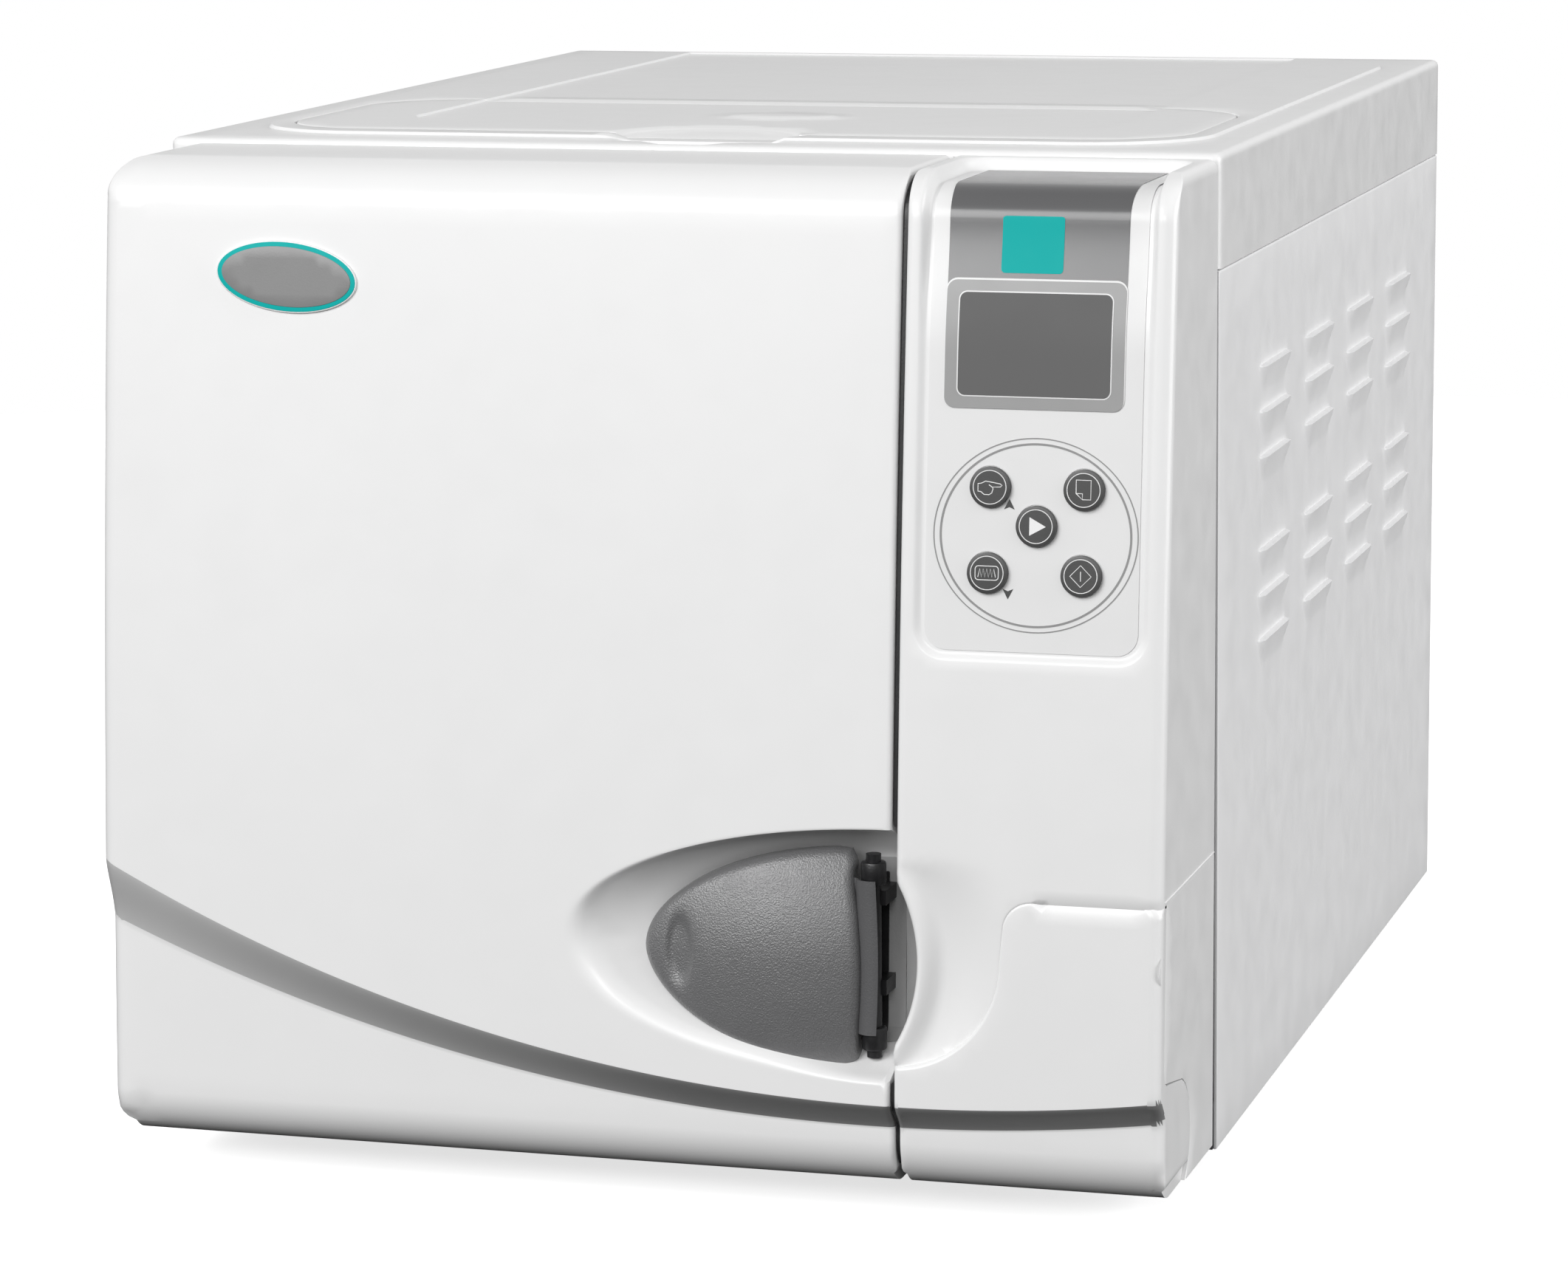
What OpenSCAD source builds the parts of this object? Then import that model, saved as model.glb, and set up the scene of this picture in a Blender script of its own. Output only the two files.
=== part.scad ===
/* [Housing] */
// Width over the side panels
body_w = 445; // [440:1:450]
// Depth of the housing behind the door
housing_d = 540; // [536:1:560]
// Height from the underside of the base to the top
body_h = 408; // [406:1:412]
// Height of the feet
foot_h = 12; // [10:1:14]
// How far the rear fittings stand out
rear_t = 20; // [18:1:24]
// Thickness of the sheet metal
sheet_t = 1.5; // [1:0.5:2]
// Thickness of the moulded covers
shell_t = 3; // [2.5:0.5:3]

/* [Front] */
// Greatest thickness of the door and fascia
front_t = 110; // [108:1:114]
// Left edge of the door
door_left = -218; // [-219:1:-217]
// Right edge of the door
door_right = 114.5; // [114:0.5:114.5]
// Left edge of the fascia
fascia_left = 116.5; // [116.5:0.5:117]
// Radius of the front face's gentle bow
bow_r = 4695; // [4500:5:5000]
// Depth of the curved step along the foot of the front
step_d = 9; // [8:0.5:10]

/* [Chamber] */
// Inner radius of the chamber
chamber_r = 125; // [122:0.5:125]
// Straight depth of the chamber
chamber_d = 450; // [400:5:450]
// Sideways place of the chamber axis
chamber_x = -50; // [-50:1:-48]
// Height of the chamber axis over the bench
chamber_z = 225; // [225:1:227]

/* [Hidden] */
$fn = 64;

// Main planes: the origin is under the middle of the whole object, +Y points to the back
half_w = body_w / 2;
y_front = -(front_t + housing_d + rear_t) / 2;
y_house = y_front + front_t;
y_back = y_house + housing_d;
y_rear = y_back + rear_t;
z_base = foot_h;
z_top = foot_h + body_h;
z_seam = z_top - 47;
gap = 0.3;
run = 0.05;

// Front face: a gentle arc in side view, with a rounded top edge and a step along the foot
bow_z = -131;
door_z0 = 16.5;
door_z1 = 417;
step_low_z = 53;
top_round_y = 24;
top_round_z = 17;
foot_round = 20;
door_back_y = y_house - 5;
corner_r = 18;
step_cx = 115;
step_r = 720;
step_cz = step_low_z + step_r;
foot_cx = 105;
foot_r = 817;
foot_cz = 42 + foot_r;

// Door hinge axis
hinge_x = -208;
hinge_y = y_house - 14;
pin_r = 3;

// Handle
handle_x = 105;
handle_y = y_front + 15;
handle_z = 110;
pocket_floor_y = y_front + 50;
scoop_r = 65.3;
scoop_x = fascia_left + 8.5 - scoop_r;
scoop_floor_y = y_house - 50;

// Service flap
flap_top = 136.5;
flap_arc_x = 115;
flap_arc_z = 112;
flap_arc_r = 44;
flap_left = 160;
flap_corner = 11;
flap_axis_y = y_house - 75;
flap_axis_z = door_z0 + foot_round;
seam = 1;

// Keys: centre x and z of each, and the tilt of the face there
key_r = 8;
key_tilt = 5;
key_h = 12.4;
key_stand = 0.8;
key_step_at = [152, 297.5];
key_menu_at = [189, 297.5];
key_start_at = [170.5, 283];
key_dry_at = [151.5, 264.5];
key_ok_at = [188.5, 264.5];
keys_at = [key_step_at, key_menu_at, key_start_at, key_dry_at, key_ok_at];

// Control film and the display behind it
film_x = [127, 213];
film_z0 = 234;
film_r = 9;
film_t = 1.2;
window_x = [141, 203];
window_z = [332, 373];

// Water tank lid
lid_w = 392;
lid_y0 = y_house + 43;
lid_y1 = y_house + 203;
lid_t = 2.5;
lid_corner = 42;
lid_axis_z = z_top - lid_t / 2;
lid_axis_y = lid_y1 - 3;
lid_pin_x = 150;
lid_pin_r = 1.2;

// Rear fittings
fan_x = 165;
fan_z = 290;
fan_r = 40;
inlet_x = 170;
inlet_z = 70;
switch_x = 120;
valve_x = 20;
valve_z = 360;
port_x = [-150, -115];
port_z = 60;

// Top cover
crown_w = 205;
crown_front = y_house + 28;
crown_back = y_back - 22;
crown_h = 1.2;
cap_y = y_house + 362;

// Louvres
louvre_l = 62;
louvre_h = 12;
louvre_out = 4;
louvre_y = [83, 185, 287, 389];
louvre_z = [324, 305, 286, 247, 228, 209];

// Control column
scoop_wall = 3;
skirt_back = [[y_front - 20, 0], [flap_axis_y, 0], [flap_axis_y, flap_axis_z], [flap_axis_y - 8, 60],
    [flap_axis_y - 16, 95], [flap_axis_y - 21, flap_top], [y_front - 20, flap_top]];
ear_r = 25.5;
board_at = [(film_x[0] + film_x[1]) / 2, 312];
lug_x = [136, 206];
coupling_x = [150, 192];
coupling_z = 76;

// Door lock
lock_y = y_house - 30;
lock_z = 182;
bolt_r = 4;
bolt_nose_r = 2.8;
bolt_nose_x = fascia_left + 0.7;
bolt_shoulder_x = fascia_left + 9.5;
bolt_end_x = fascia_left + 30.5;

// Chamber
flange_r = 145;
chamber_wall = 2;
jacket_r = chamber_r + chamber_wall + 14;
heater_d = 220;

// Rack and trays
rack_y0 = y_house + 25;
rack_y1 = y_house + chamber_d - 30;
tray_w = 184;
tray_zs = [155, 205, 255];
rack_half = tray_w / 2 + 3;

// Pumps and pipes
pump_y = y_house + 100;
pipe_r = 4;
elbow_w = 11;

// Mains switch
rocker_tilt = 9;

// Door
pocket_rx = 125;
pocket_rz = 46;
seal_y = y_house - gap;
bridge_y0 = y_house - 60;
bridge_y1 = y_house - 44;
bridge_end = door_right - shell_t - 0.3;
knuckle_r = 6;
hinge_zs = [88, 328];
badge_x = -133;
badge_z = 371;

// Handle and latch
hub_r = 6;
leaf_x = [14, 96];
leaf_rz = 42;
latch_y = pocket_floor_y - 14;

// Front profile
function face_y(z) = y_front + (pow(z - bow_z, 2) - pow(step_low_z - bow_z, 2)) / (2 * bow_r);
function face_front(t) = [for (i = [0 : 10])
    let (z = door_z0 + foot_round + i / 10 * (door_z1 - top_round_z - door_z0 - foot_round))
    [face_y(z) + t, z]];
function face_crown(t) = [for (a = [15 : 15 : 90])
    [face_y(door_z1 - top_round_z) + top_round_y - (top_round_y - t) * cos(a),
     door_z1 - top_round_z + (top_round_z - t) * sin(a)]];
function face_foot(t) = [for (a = [-90 : 15 : -15])
    [face_y(door_z0 + foot_round) + foot_round + step_d - (foot_round + step_d - t) * cos(a),
     door_z0 + foot_round + (foot_round - t_in(t)) * sin(a)]];
function t_in(t) = max(0, t - step_d);
function profile(t, back) = concat(
    [[back, door_z0 + t_in(t)]], face_foot(t), face_front(t), face_crown(t), [[back, door_z1 - t]]);
function rounded(x0, x1, z0, z1, rl, rr) = concat(
    [for (a = [180 : 15 : 270]) [x0 + rl + rl * cos(a), z0 + rl + rl * sin(a)]],
    [for (a = [270 : 15 : 360]) [x1 - rr + rr * cos(a), z0 + rr + rr * sin(a)]],
    [for (a = [0 : 15 : 90]) [x1 - rr + rr * cos(a), z1 - rr + rr * sin(a)]],
    [for (a = [90 : 15 : 180]) [x0 + rl + rl * cos(a), z1 - rl + rl * sin(a)]]);

// Placing helpers
module along_x(x0, x1) translate([x0, 0, 0]) rotate([90, 0, 90]) linear_extrude(x1 - x0) children();
module along_y(y0, y1) translate([0, y1, 0]) rotate([90, 0, 0]) linear_extrude(y1 - y0) children();
module block(lo, hi) translate(lo) cube(hi - lo);
module rod_x(x0, x1, y, z, r) translate([x0, y, z]) rotate([0, 90, 0]) cylinder(r = r, h = x1 - x0);
module rod_y(x, z, y0, y1, r) translate([x, y0, z]) rotate([-90, 0, 0]) cylinder(r = r, h = y1 - y0);
module rod_z(x, y, z0, z1, r) translate([x, y, z0]) cylinder(r = r, h = z1 - z0);
module tray_box(lo, hi, wall) difference() {
    block(lo, hi);
    block(lo + [wall, wall, wall], hi + [-wall, -wall, wall]);
}
module sealed_box(lo, hi, wall) difference() {
    block(lo, hi);
    block(lo + [wall, wall, wall], hi - [wall, wall, wall]);
}

// The front form between two x planes: the curved step is cut in three ledges
module front_form(x0, x1, t, back) {
    for (i = [0 : 2])
        intersection() {
            along_x(x0, x1) polygon(profile(t + i * step_d / 3, back));
            along_y(y_front - 5, back + 5)
                translate([step_cx + i / 3 * (foot_cx - step_cx), step_cz + i / 3 * (foot_cz - step_cz)])
                circle(r = step_r + i / 3 * (foot_r - step_r) - t, $fn = 180);
        }
    along_x(x0, x1) polygon(profile(t + step_d, back));
}

// A layer of the front face between two depths, inside an outline in the XZ plane
module face_layer(t0, t1, x0, x1) intersection() {
    difference() {
        along_x(x0, x1) polygon(profile(t0, y_house - 40));
        along_x(x0 - 1, x1 + 1) polygon(profile(t1, y_house - 35));
    }
    along_y(y_front - 5, y_house) children();
}

// Housing
module base_tray() color("silver") difference() {
    tray_box([-half_w + sheet_t + gap, y_house + 4, z_base],
        [half_w - sheet_t - gap, y_back - 2, z_base + 20], sheet_t);
    for (x = [-190, 190], y = [y_house + 45, y_back - 45])
        rod_z(x, y, z_base - 1, z_base + 5, 3.2);
}

module feet() color("dimgray")
    for (x = [-190, 190], y = [y_house + 45, y_back - 45]) {
        translate([x, y, 0]) cylinder(r1 = 14, r2 = 16, h = foot_h);
        rod_z(x, y, foot_h, foot_h + 8, 3);
    }

module lid_plan(grow) difference() {
    translate([-lid_w / 2 - grow, lid_y0 - grow]) square([lid_w + 2 * grow, lid_y1 - lid_y0 + 2 * grow]);
    for (s = [-1, 1])
        difference() {
            translate([s * (lid_w / 2 - lid_corner / 2 + grow), lid_y0 + lid_corner / 2 - grow])
                square(lid_corner, center = true);
            translate([s * (lid_w / 2 - lid_corner + grow), lid_y0 + lid_corner - grow])
                circle(r = lid_corner);
        }
}
module crown_plan() {
    translate([-crown_w, crown_front + 50]) square([2 * crown_w, crown_back - crown_front - 50]);
    translate([-crown_w + 50, crown_front]) square([2 * crown_w - 100, 60]);
    for (s = [-1, 1]) translate([s * (crown_w - 50), crown_front + 50]) circle(r = 50);
}
module top_cover() color("whitesmoke") {
    difference() {
        union() {
            difference() {
                block([-half_w, y_house, z_seam], [half_w, y_back, z_top - crown_h]);
                block([-half_w + 2, y_house + 2, z_seam - 1], [half_w - 2, y_back - 2, z_top - crown_h - 2]);
            }
            translate([0, 0, z_top - crown_h - 2]) linear_extrude(crown_h + 2) crown_plan();
        }
        translate([0, 0, z_top - 8]) linear_extrude(20) lid_plan(1.2);
        block([-half_w + 4, y_house - 1, z_seam - 1], [half_w - 4, y_house + 3, z_top - 4]);
    }
    difference() {
        translate([0, 0, z_top - 7]) linear_extrude(2) lid_plan(4);
        translate([0, 0, z_top - 8]) linear_extrude(4) lid_plan(-8);
        block([-36, lid_y0 - 1, z_top - 8], [36, lid_y0 + 35, z_top - 4]);
    }
    difference() {
        translate([0, 0, z_top - 7]) linear_extrude(5) lid_plan(3.2);
        translate([0, 0, z_top - 8]) linear_extrude(7) lid_plan(1.2);
    }
    for (s = [-1, 1])
        rod_z(s * 177, cap_y, z_top - 3, z_top - crown_h + 0.8, 6);
    // Half-round seats under the lid's hinge pins
    for (s = [-1, 1])
        difference() {
            block([s * lid_pin_x - 8, lid_axis_y - 3, z_top - 5.5],
                [s * lid_pin_x + 8, lid_axis_y + 3, lid_axis_z]);
            rod_x(s * lid_pin_x - 9, s * lid_pin_x + 9, lid_axis_y, lid_axis_z, lid_pin_r + run);
        }
}

// One pressed louvre hood, open along its top edge
module louvre_slot(x, y, z) block([x - 5, y + 2, z - 4], [x + 5, y + louvre_l - 2, z - 0.5]);
module louvre_hood() intersection() {
    along_y(0, louvre_l)
        polygon([[0, -louvre_h], [louvre_out, -1], [louvre_out, 0], [louvre_out - 1, 0], [0, 2 - louvre_h]]);
    along_x(-1, louvre_out + 1)
        polygon([[0, 0], [2, -6], [10, -louvre_h], [louvre_l - 10, -louvre_h],
            [louvre_l - 2, -6], [louvre_l, 0]]);
}
module side_panel() {
    difference() {
        block([-half_w, y_house + 5, z_base], [-half_w + sheet_t, y_back - 4, z_seam - 0.5]);
        for (y = louvre_y, z = louvre_z)
            louvre_slot(-half_w, y_house + y, z);
    }
    for (y = louvre_y, z = louvre_z)
        translate([-half_w, y_house + y, z]) mirror([1, 0, 0]) louvre_hood();
}
module left_side_panel() color("gainsboro") side_panel();
module right_side_panel() color("gainsboro") mirror([1, 0, 0]) side_panel();

module rear_panel() color("gainsboro") difference() {
    block([-half_w + 2.3, y_back - sheet_t, z_base + 0.3], [half_w - 2.3, y_back, z_seam - 0.5]);
    for (a = [0 : 60 : 300], k = [0 : 1])
        rod_y(fan_x + (14 + 16 * k) * cos(a), fan_z + (14 + 16 * k) * sin(a), y_back - 3, y_back + 3, 6);
    rod_y(fan_x, fan_z, y_back - 3, y_back + 3, 6);
    block([inlet_x - 14, y_back - 3, inlet_z - 10.2], [inlet_x + 14, y_back + 3, inlet_z + 10.2]);
    block([switch_x - 11, y_back - 3, inlet_z - 14], [switch_x + 11, y_back + 3, inlet_z + 14]);
    for (z = [inlet_z + 32, inlet_z + 56])
        rod_y(inlet_x, z, y_back - 3, y_back + 3, 6.1);
    for (x = port_x)
        rod_y(x, port_z, y_back - 3, y_back + 3, 7.1);
    rod_y(valve_x, valve_z, y_back - 3, y_back + 3, 8.1);
}

module front_frame() color("dimgray") difference() {
    union() {
        block([-half_w + 4.5, y_house, z_base + 0.3], [half_w - 4.5, y_house + 3.6, z_top - 5]);
        block([fascia_left + 5, y_house - 12, z_base + 8], [half_w - 5, y_house, z_top - 12]);
    }
    rod_y(chamber_x, chamber_z, y_house - 20, y_house + 10, 145.3);
    block([fascia_left + 8, y_house - 20, z_base + 11], [half_w - 8, y_house + 10, z_top - 15]);
}

// Control column
module scoop(grow, y1) rod_y(scoop_x, handle_z, y_front - 10, y1, scoop_r + grow);
module flap_region(grow) difference() {
    translate([fascia_left - 1 - grow, 0]) square([half_w - fascia_left + 10, flap_top + grow]);
    translate([flap_arc_x, flap_arc_z]) circle(r = flap_arc_r - grow, $fn = 96);
    translate([0, flap_arc_z]) square([flap_left - grow, 60]);
    difference() {
        translate([flap_left - grow, flap_top - flap_corner + grow]) square(flap_corner);
        translate([flap_left + flap_corner - grow, flap_top - flap_corner + grow]) circle(r = flap_corner);
    }
}
module flap_zone(grow) intersection() {
    along_y(y_front - 20, y_house) flap_region(grow);
    along_x(fascia_left - 5, half_w + 5)
        polygon([for (p = skirt_back) [p[0] + grow, p[1] + (p[1] >= flap_top ? grow : 0)]]);
}
module key_axis(at) translate([at[0], face_y(at[1]), at[1]]) rotate([-90 - key_tilt, 0, 0]) children();
module fascia_shell() color("whitesmoke") {
    difference() {
        union() {
            difference() {
                front_form(fascia_left, half_w, 0, door_back_y);
                front_form(fascia_left + shell_t, half_w - shell_t, shell_t, y_house + 5);
            }
            intersection() {
                front_form(fascia_left, half_w, 0, door_back_y);
                scoop(scoop_wall, scoop_floor_y + scoop_wall);
            }
        }
        scoop(0, scoop_floor_y);
        flap_zone(seam);
        rod_x(fascia_left - 1, half_w + 1, flap_axis_y, flap_axis_z, ear_r + seam);
        face_layer(-2, film_t + 0.1, film_x[0] - 0.1, film_x[1] + 0.1)
            translate([film_x[0], film_z0]) square([film_x[1] - film_x[0], 300]);
        face_layer(-2, shell_t + 3, window_x[0] - 3, window_x[1] + 3)
            translate([window_x[0], window_z[0]])
            square([window_x[1] - window_x[0], window_z[1] - window_z[0]]);
        for (at = keys_at)
            key_axis(at) translate([0, 0, -5]) cylinder(r = key_r + gap, h = 15);
        rod_x(fascia_left - 1, fascia_left + 10, lock_y, lock_z, bolt_r + run);
    }
    // Bay wall behind the service flap
    block([fascia_left + shell_t, y_house - 48, door_z0 + shell_t],
        [half_w - shell_t, y_house - 45, flap_top + 8]);
    // Bosses and pins of the flap's hinge
    for (x = [136, 206])
        union() {
            block([x - 6, flap_axis_y - 5, flap_axis_z - 3], [x - 0.5, flap_axis_y + 9, flap_axis_z + 5]);
            block([x - 6, flap_axis_y + 2, flap_axis_z + 3], [x - 0.5, y_house - 47, flap_axis_z + 13]);
            rod_x(x - 1, x + 4.2, flap_axis_y, flap_axis_z, 2);
        }
}

module control_overlay() color("gainsboro") difference() {
    face_layer(0, film_t, film_x[0], film_x[1]) {
        translate([film_x[0], film_z0 + film_r]) square([film_x[1] - film_x[0], 300]);
        translate([film_x[0] + film_r, film_z0]) square([film_x[1] - film_x[0] - 2 * film_r, 20]);
        for (x = [film_x[0] + film_r, film_x[1] - film_r])
            translate([x, film_z0 + film_r]) circle(r = film_r);
    }
    for (at = keys_at)
        key_axis(at) translate([0, 0, -5]) cylinder(r = key_r + gap, h = 15);
    block([film_x[0] - 1, y_house - 60, z_base], [film_x[1] + 1, y_house + 20, z_top]);
}

module display_module() color("dimgray")
    face_layer(shell_t + 0.5, shell_t + 9, window_x[0] - 4, window_x[1] + 4)
    translate([window_x[0] - 4, window_z[0] - 4])
    square([window_x[1] - window_x[0] + 8, window_z[1] - window_z[0] + 8]);

module control_board() color("darkgreen") {
    key_axis(board_at) block([-41, -72, 15.6], [41, 72, 17.2]);
    for (at = keys_at)
        key_axis([at[0], board_at[1]])
            translate([0, board_at[1] - at[1], key_h + 1.2]) cylinder(r = 4, h = 3);
    key_axis(board_at)
        for (z = [-56, -12, 32])
            block([-28, z - 12, 16.5], [10, z + 12, 26]);
}

module key(at) color("dimgray") key_axis(at) difference() {
    union() {
        translate([0, 0, -key_stand]) cylinder(r = key_r, h = key_h + key_stand);
        translate([0, 0, shell_t + 2]) cylinder(r = key_r + 1.5, h = 1.5);
    }
    translate([0, 0, shell_t + 4]) cylinder(r = key_r - 3, h = key_h);
}
module key_step() key(key_step_at);
module key_menu() key(key_menu_at);
module key_start() key(key_start_at);
module key_dry() key(key_dry_at);
module key_ok() key(key_ok_at);

module service_flap() color("whitesmoke") {
    difference() {
        intersection() {
            difference() {
                front_form(fascia_left, half_w, 0, y_house - 40);
                front_form(fascia_left - 1, half_w - shell_t, shell_t, y_house - 35);
            }
            union() {
                flap_zone(0);
                rod_x(half_w - shell_t - 0.5, half_w + 1, flap_axis_y, flap_axis_z, ear_r);
            }
        }
        // Finger notch on the side edge
        translate([half_w + 3, flap_axis_y - 24, 112]) sphere(r = 8);
    }
    for (x = lug_x)
        difference() {
            block([x, face_y(flap_axis_z + 6) + step_d + 1, flap_axis_z - 6],
                [x + 4, flap_axis_y + 5, flap_axis_z + 6]);
            rod_x(x - 1, x + 6, flap_axis_y, flap_axis_z, 2 + run);
        }
}

// Bay behind the flap
module drain_couplings() color("silver")
    for (x = coupling_x)
        difference() {
            union() {
                rod_y(x, coupling_z, y_house - 54, y_house - 48, 11);
                rod_y(x, coupling_z, y_house - 76, y_house - 48, 7);
                rod_y(x, coupling_z, y_house - 67, y_house - 62, 9);
            }
            rod_y(x, coupling_z, y_house - 80, y_house - 47, 3);
        }
module bacteria_filter() color("white") {
    rod_y(196, 112, y_house - 74, y_house - 58, 17);
    rod_y(196, 112, y_house - 78, y_house - 48, 5);
}

// Keeper for the latch, in the scoop beside the handle
module strike_plate() color("dimgray") {
    block([118, scoop_floor_y - 3, handle_z - 12], [123.6, scoop_floor_y, handle_z + 12]);
    block([122.2, scoop_floor_y - 26, handle_z - 12], [123.6, scoop_floor_y - 3, handle_z + 12]);
    block([121.8, scoop_floor_y - 28, handle_z - 12], [123.6, scoop_floor_y - 26, handle_z + 12]);
}

// Door lock: a solenoid whose bolt slides into a hole in the side of the door and in its bridge
module lock_solenoid() color("dimgray") {
    difference() {
        block([120, lock_y - 14, 168], [150, lock_y + 14, 196]);
        rod_x(110, 160, lock_y, lock_z, bolt_r + run);
    }
    rod_x(149.5, 156, lock_y, lock_z, 10);
}
module lock_bolt() color("silver") {
    rod_x(bolt_nose_x, bolt_shoulder_x + 1, lock_y, lock_z, bolt_nose_r);
    rod_x(bolt_shoulder_x, bolt_end_x, lock_y, lock_z, bolt_r);
}

// Chamber
module chamber() color("silver") {
    difference() {
        rod_y(chamber_x, chamber_z, y_house + 12, y_house + chamber_d, chamber_r + chamber_wall);
        rod_y(chamber_x, chamber_z, y_house + 5, y_house + chamber_d + 5, chamber_r);
    }
    translate([chamber_x, y_house + chamber_d, chamber_z]) rotate([-90, 0, 0]) rotate_extrude($fn = 96)
        polygon([[0, 22], [60, 19], [95, 11], [115, 4], [chamber_r, 0], [chamber_r + chamber_wall, 0],
            [chamber_r + chamber_wall, 1], [116, 6], [96, 13], [61, 21], [0, 24]]);
}
module chamber_flange() color("silver") difference() {
    rod_y(chamber_x, chamber_z, y_house, y_house + 12, flange_r);
    rod_y(chamber_x, chamber_z, y_house - 5, y_house + 20, chamber_r);
}
module insulation_jacket() color("khaki") difference() {
    rod_y(chamber_x, chamber_z, y_house + 14, y_house + chamber_d - 2, jacket_r);
    rod_y(chamber_x, chamber_z, y_house + 10, y_house + chamber_d + 10, chamber_r + chamber_wall + 3.3);
}
module band_heater() color("peru") difference() {
    rod_y(chamber_x, chamber_z, y_house + 120, y_house + 120 + heater_d, chamber_r + chamber_wall + 3);
    rod_y(chamber_x, chamber_z, y_house + 90, y_house + 400, chamber_r + chamber_wall);
}

// Rack and trays: shelves bent from wire ends, lying in the chamber
module tray_rack() color("silver") {
    for (s = [-1, 1]) {
        block([chamber_x + s * rack_half - 1, rack_y0, 148],
            [chamber_x + s * rack_half + 1, rack_y0 + 14, 290]);
        block([chamber_x + s * rack_half - 1, rack_y1 - 14, 148],
            [chamber_x + s * rack_half + 1, rack_y1, 290]);
        for (z = tray_zs)
            block([chamber_x + s * (rack_half - 4) - 5, rack_y0, z - 2],
                [chamber_x + s * (rack_half - 4) + 5, rack_y1, z]);
    }
    for (y = [rack_y0, rack_y1 - 14])
        block([chamber_x - rack_half - 1, y, 146], [chamber_x + rack_half + 1, y + 14, 148]);
}
module tray(z) color("silver") difference() {
    tray_box([chamber_x - tray_w / 2, rack_y0 + 4, z], [chamber_x + tray_w / 2, rack_y1 - 4, z + 18], 1);
    for (i = [-3 : 3], j = [0 : 11])
        rod_z(chamber_x + i * 23, rack_y0 + 28 + j * 31, z - 1, z + 3, 4);
}
module tray_lower() tray(tray_zs[0]);
module tray_middle() tray(tray_zs[1]);
module tray_upper() tray(tray_zs[2]);

// Plant in the right-hand bay
module vacuum_pump() color("dimgray") {
    rod_y(150, 84, pump_y - 70, pump_y + 10, 34);
    block([112, pump_y - 60, 34], [188, pump_y + 4, 50]);
    block([118, pump_y + 10, 56], [196, pump_y + 62, 130]);
    rod_z(138, pump_y + 36, 130, 142, 6);
    rod_z(176, pump_y + 36, 130, 142, 6);
}
module water_pump() color("steelblue") {
    block([124, y_house + 200, 34], [188, y_house + 250, 78]);
    rod_y(156, 56, y_house + 250, y_house + 272, 18);
    rod_z(156, y_house + 225, 78, 90, 5);
}
module valve_block() color("goldenrod") {
    block([122, y_house + 60, 172], [202, y_house + 90, 196]);
    for (x = [134, 162, 190])
        union() {
            rod_z(x, y_house + 75, 196, 204, 7);
            block([x - 11, y_house + 63, 204], [x + 11, y_house + 87, 230]);
        }
}
module steam_generator() color("silver") {
    rod_z(160, y_house + 350, 34, 160, 44);
    rod_z(160, y_house + 350, 160, 172, 30);
    rod_z(160, y_house + 350, 172, 184, 5);
}
module condenser() color("silver") {
    for (i = [0 : 13])
        block([118 + i * 7, y_house + 430, 246], [119 + i * 7, y_house + 470, 334]);
    for (z = [262, 290, 318])
        rod_x(112, 214, y_house + 450, z, 5);
}
module fan_housing() color("dimgray") difference() {
    union() {
        difference() {
            block([fan_x - 46, y_back - 34, fan_z - 46], [fan_x + 46, y_back - 2, fan_z + 46]);
            rod_y(fan_x, fan_z, y_back - 40, y_back, fan_r + 3);
        }
        rod_y(fan_x, fan_z, y_back - 34, y_back - 30, 14);
        for (a = [45 : 90 : 315])
            translate([fan_x, y_back - 32, fan_z]) rotate([0, a, 0]) translate([12, -2, -3]) cube([33, 4, 6]);
        rod_y(fan_x, fan_z, y_back - 34, y_back - 8, 3);
    }
    rod_y(fan_x, fan_z, y_back - 7.9, y_back, 5);
}
module fan_rotor() color("black") difference() {
    union() {
        rod_y(fan_x, fan_z, y_back - 28, y_back - 10, 15);
        for (a = [0 : 51.43 : 309])
            translate([fan_x, y_back - 19, fan_z]) rotate([0, a, 0]) rotate([30, 0, 0])
                translate([13, -1, -8]) cube([25, 2, 16]);
    }
    rod_y(fan_x, fan_z, y_back - 30, y_back - 9, 3 + run);
}

// Water tanks
module clean_water_tank() color("white") difference() {
    union() {
        block([-190, y_house + 50, 383], [190, y_house + 196, 411]);
        block([112, y_house + 50, 262], [190, y_house + 196, 383]);
    }
    block([-187, y_house + 53, 386], [187, y_house + 193, 412]);
    block([115, y_house + 53, 265], [187, y_house + 193, 387]);
}
module used_water_tank() color("white") sealed_box([112, y_house + 212, 180], [208, y_house + 330, 372], 3);

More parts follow.
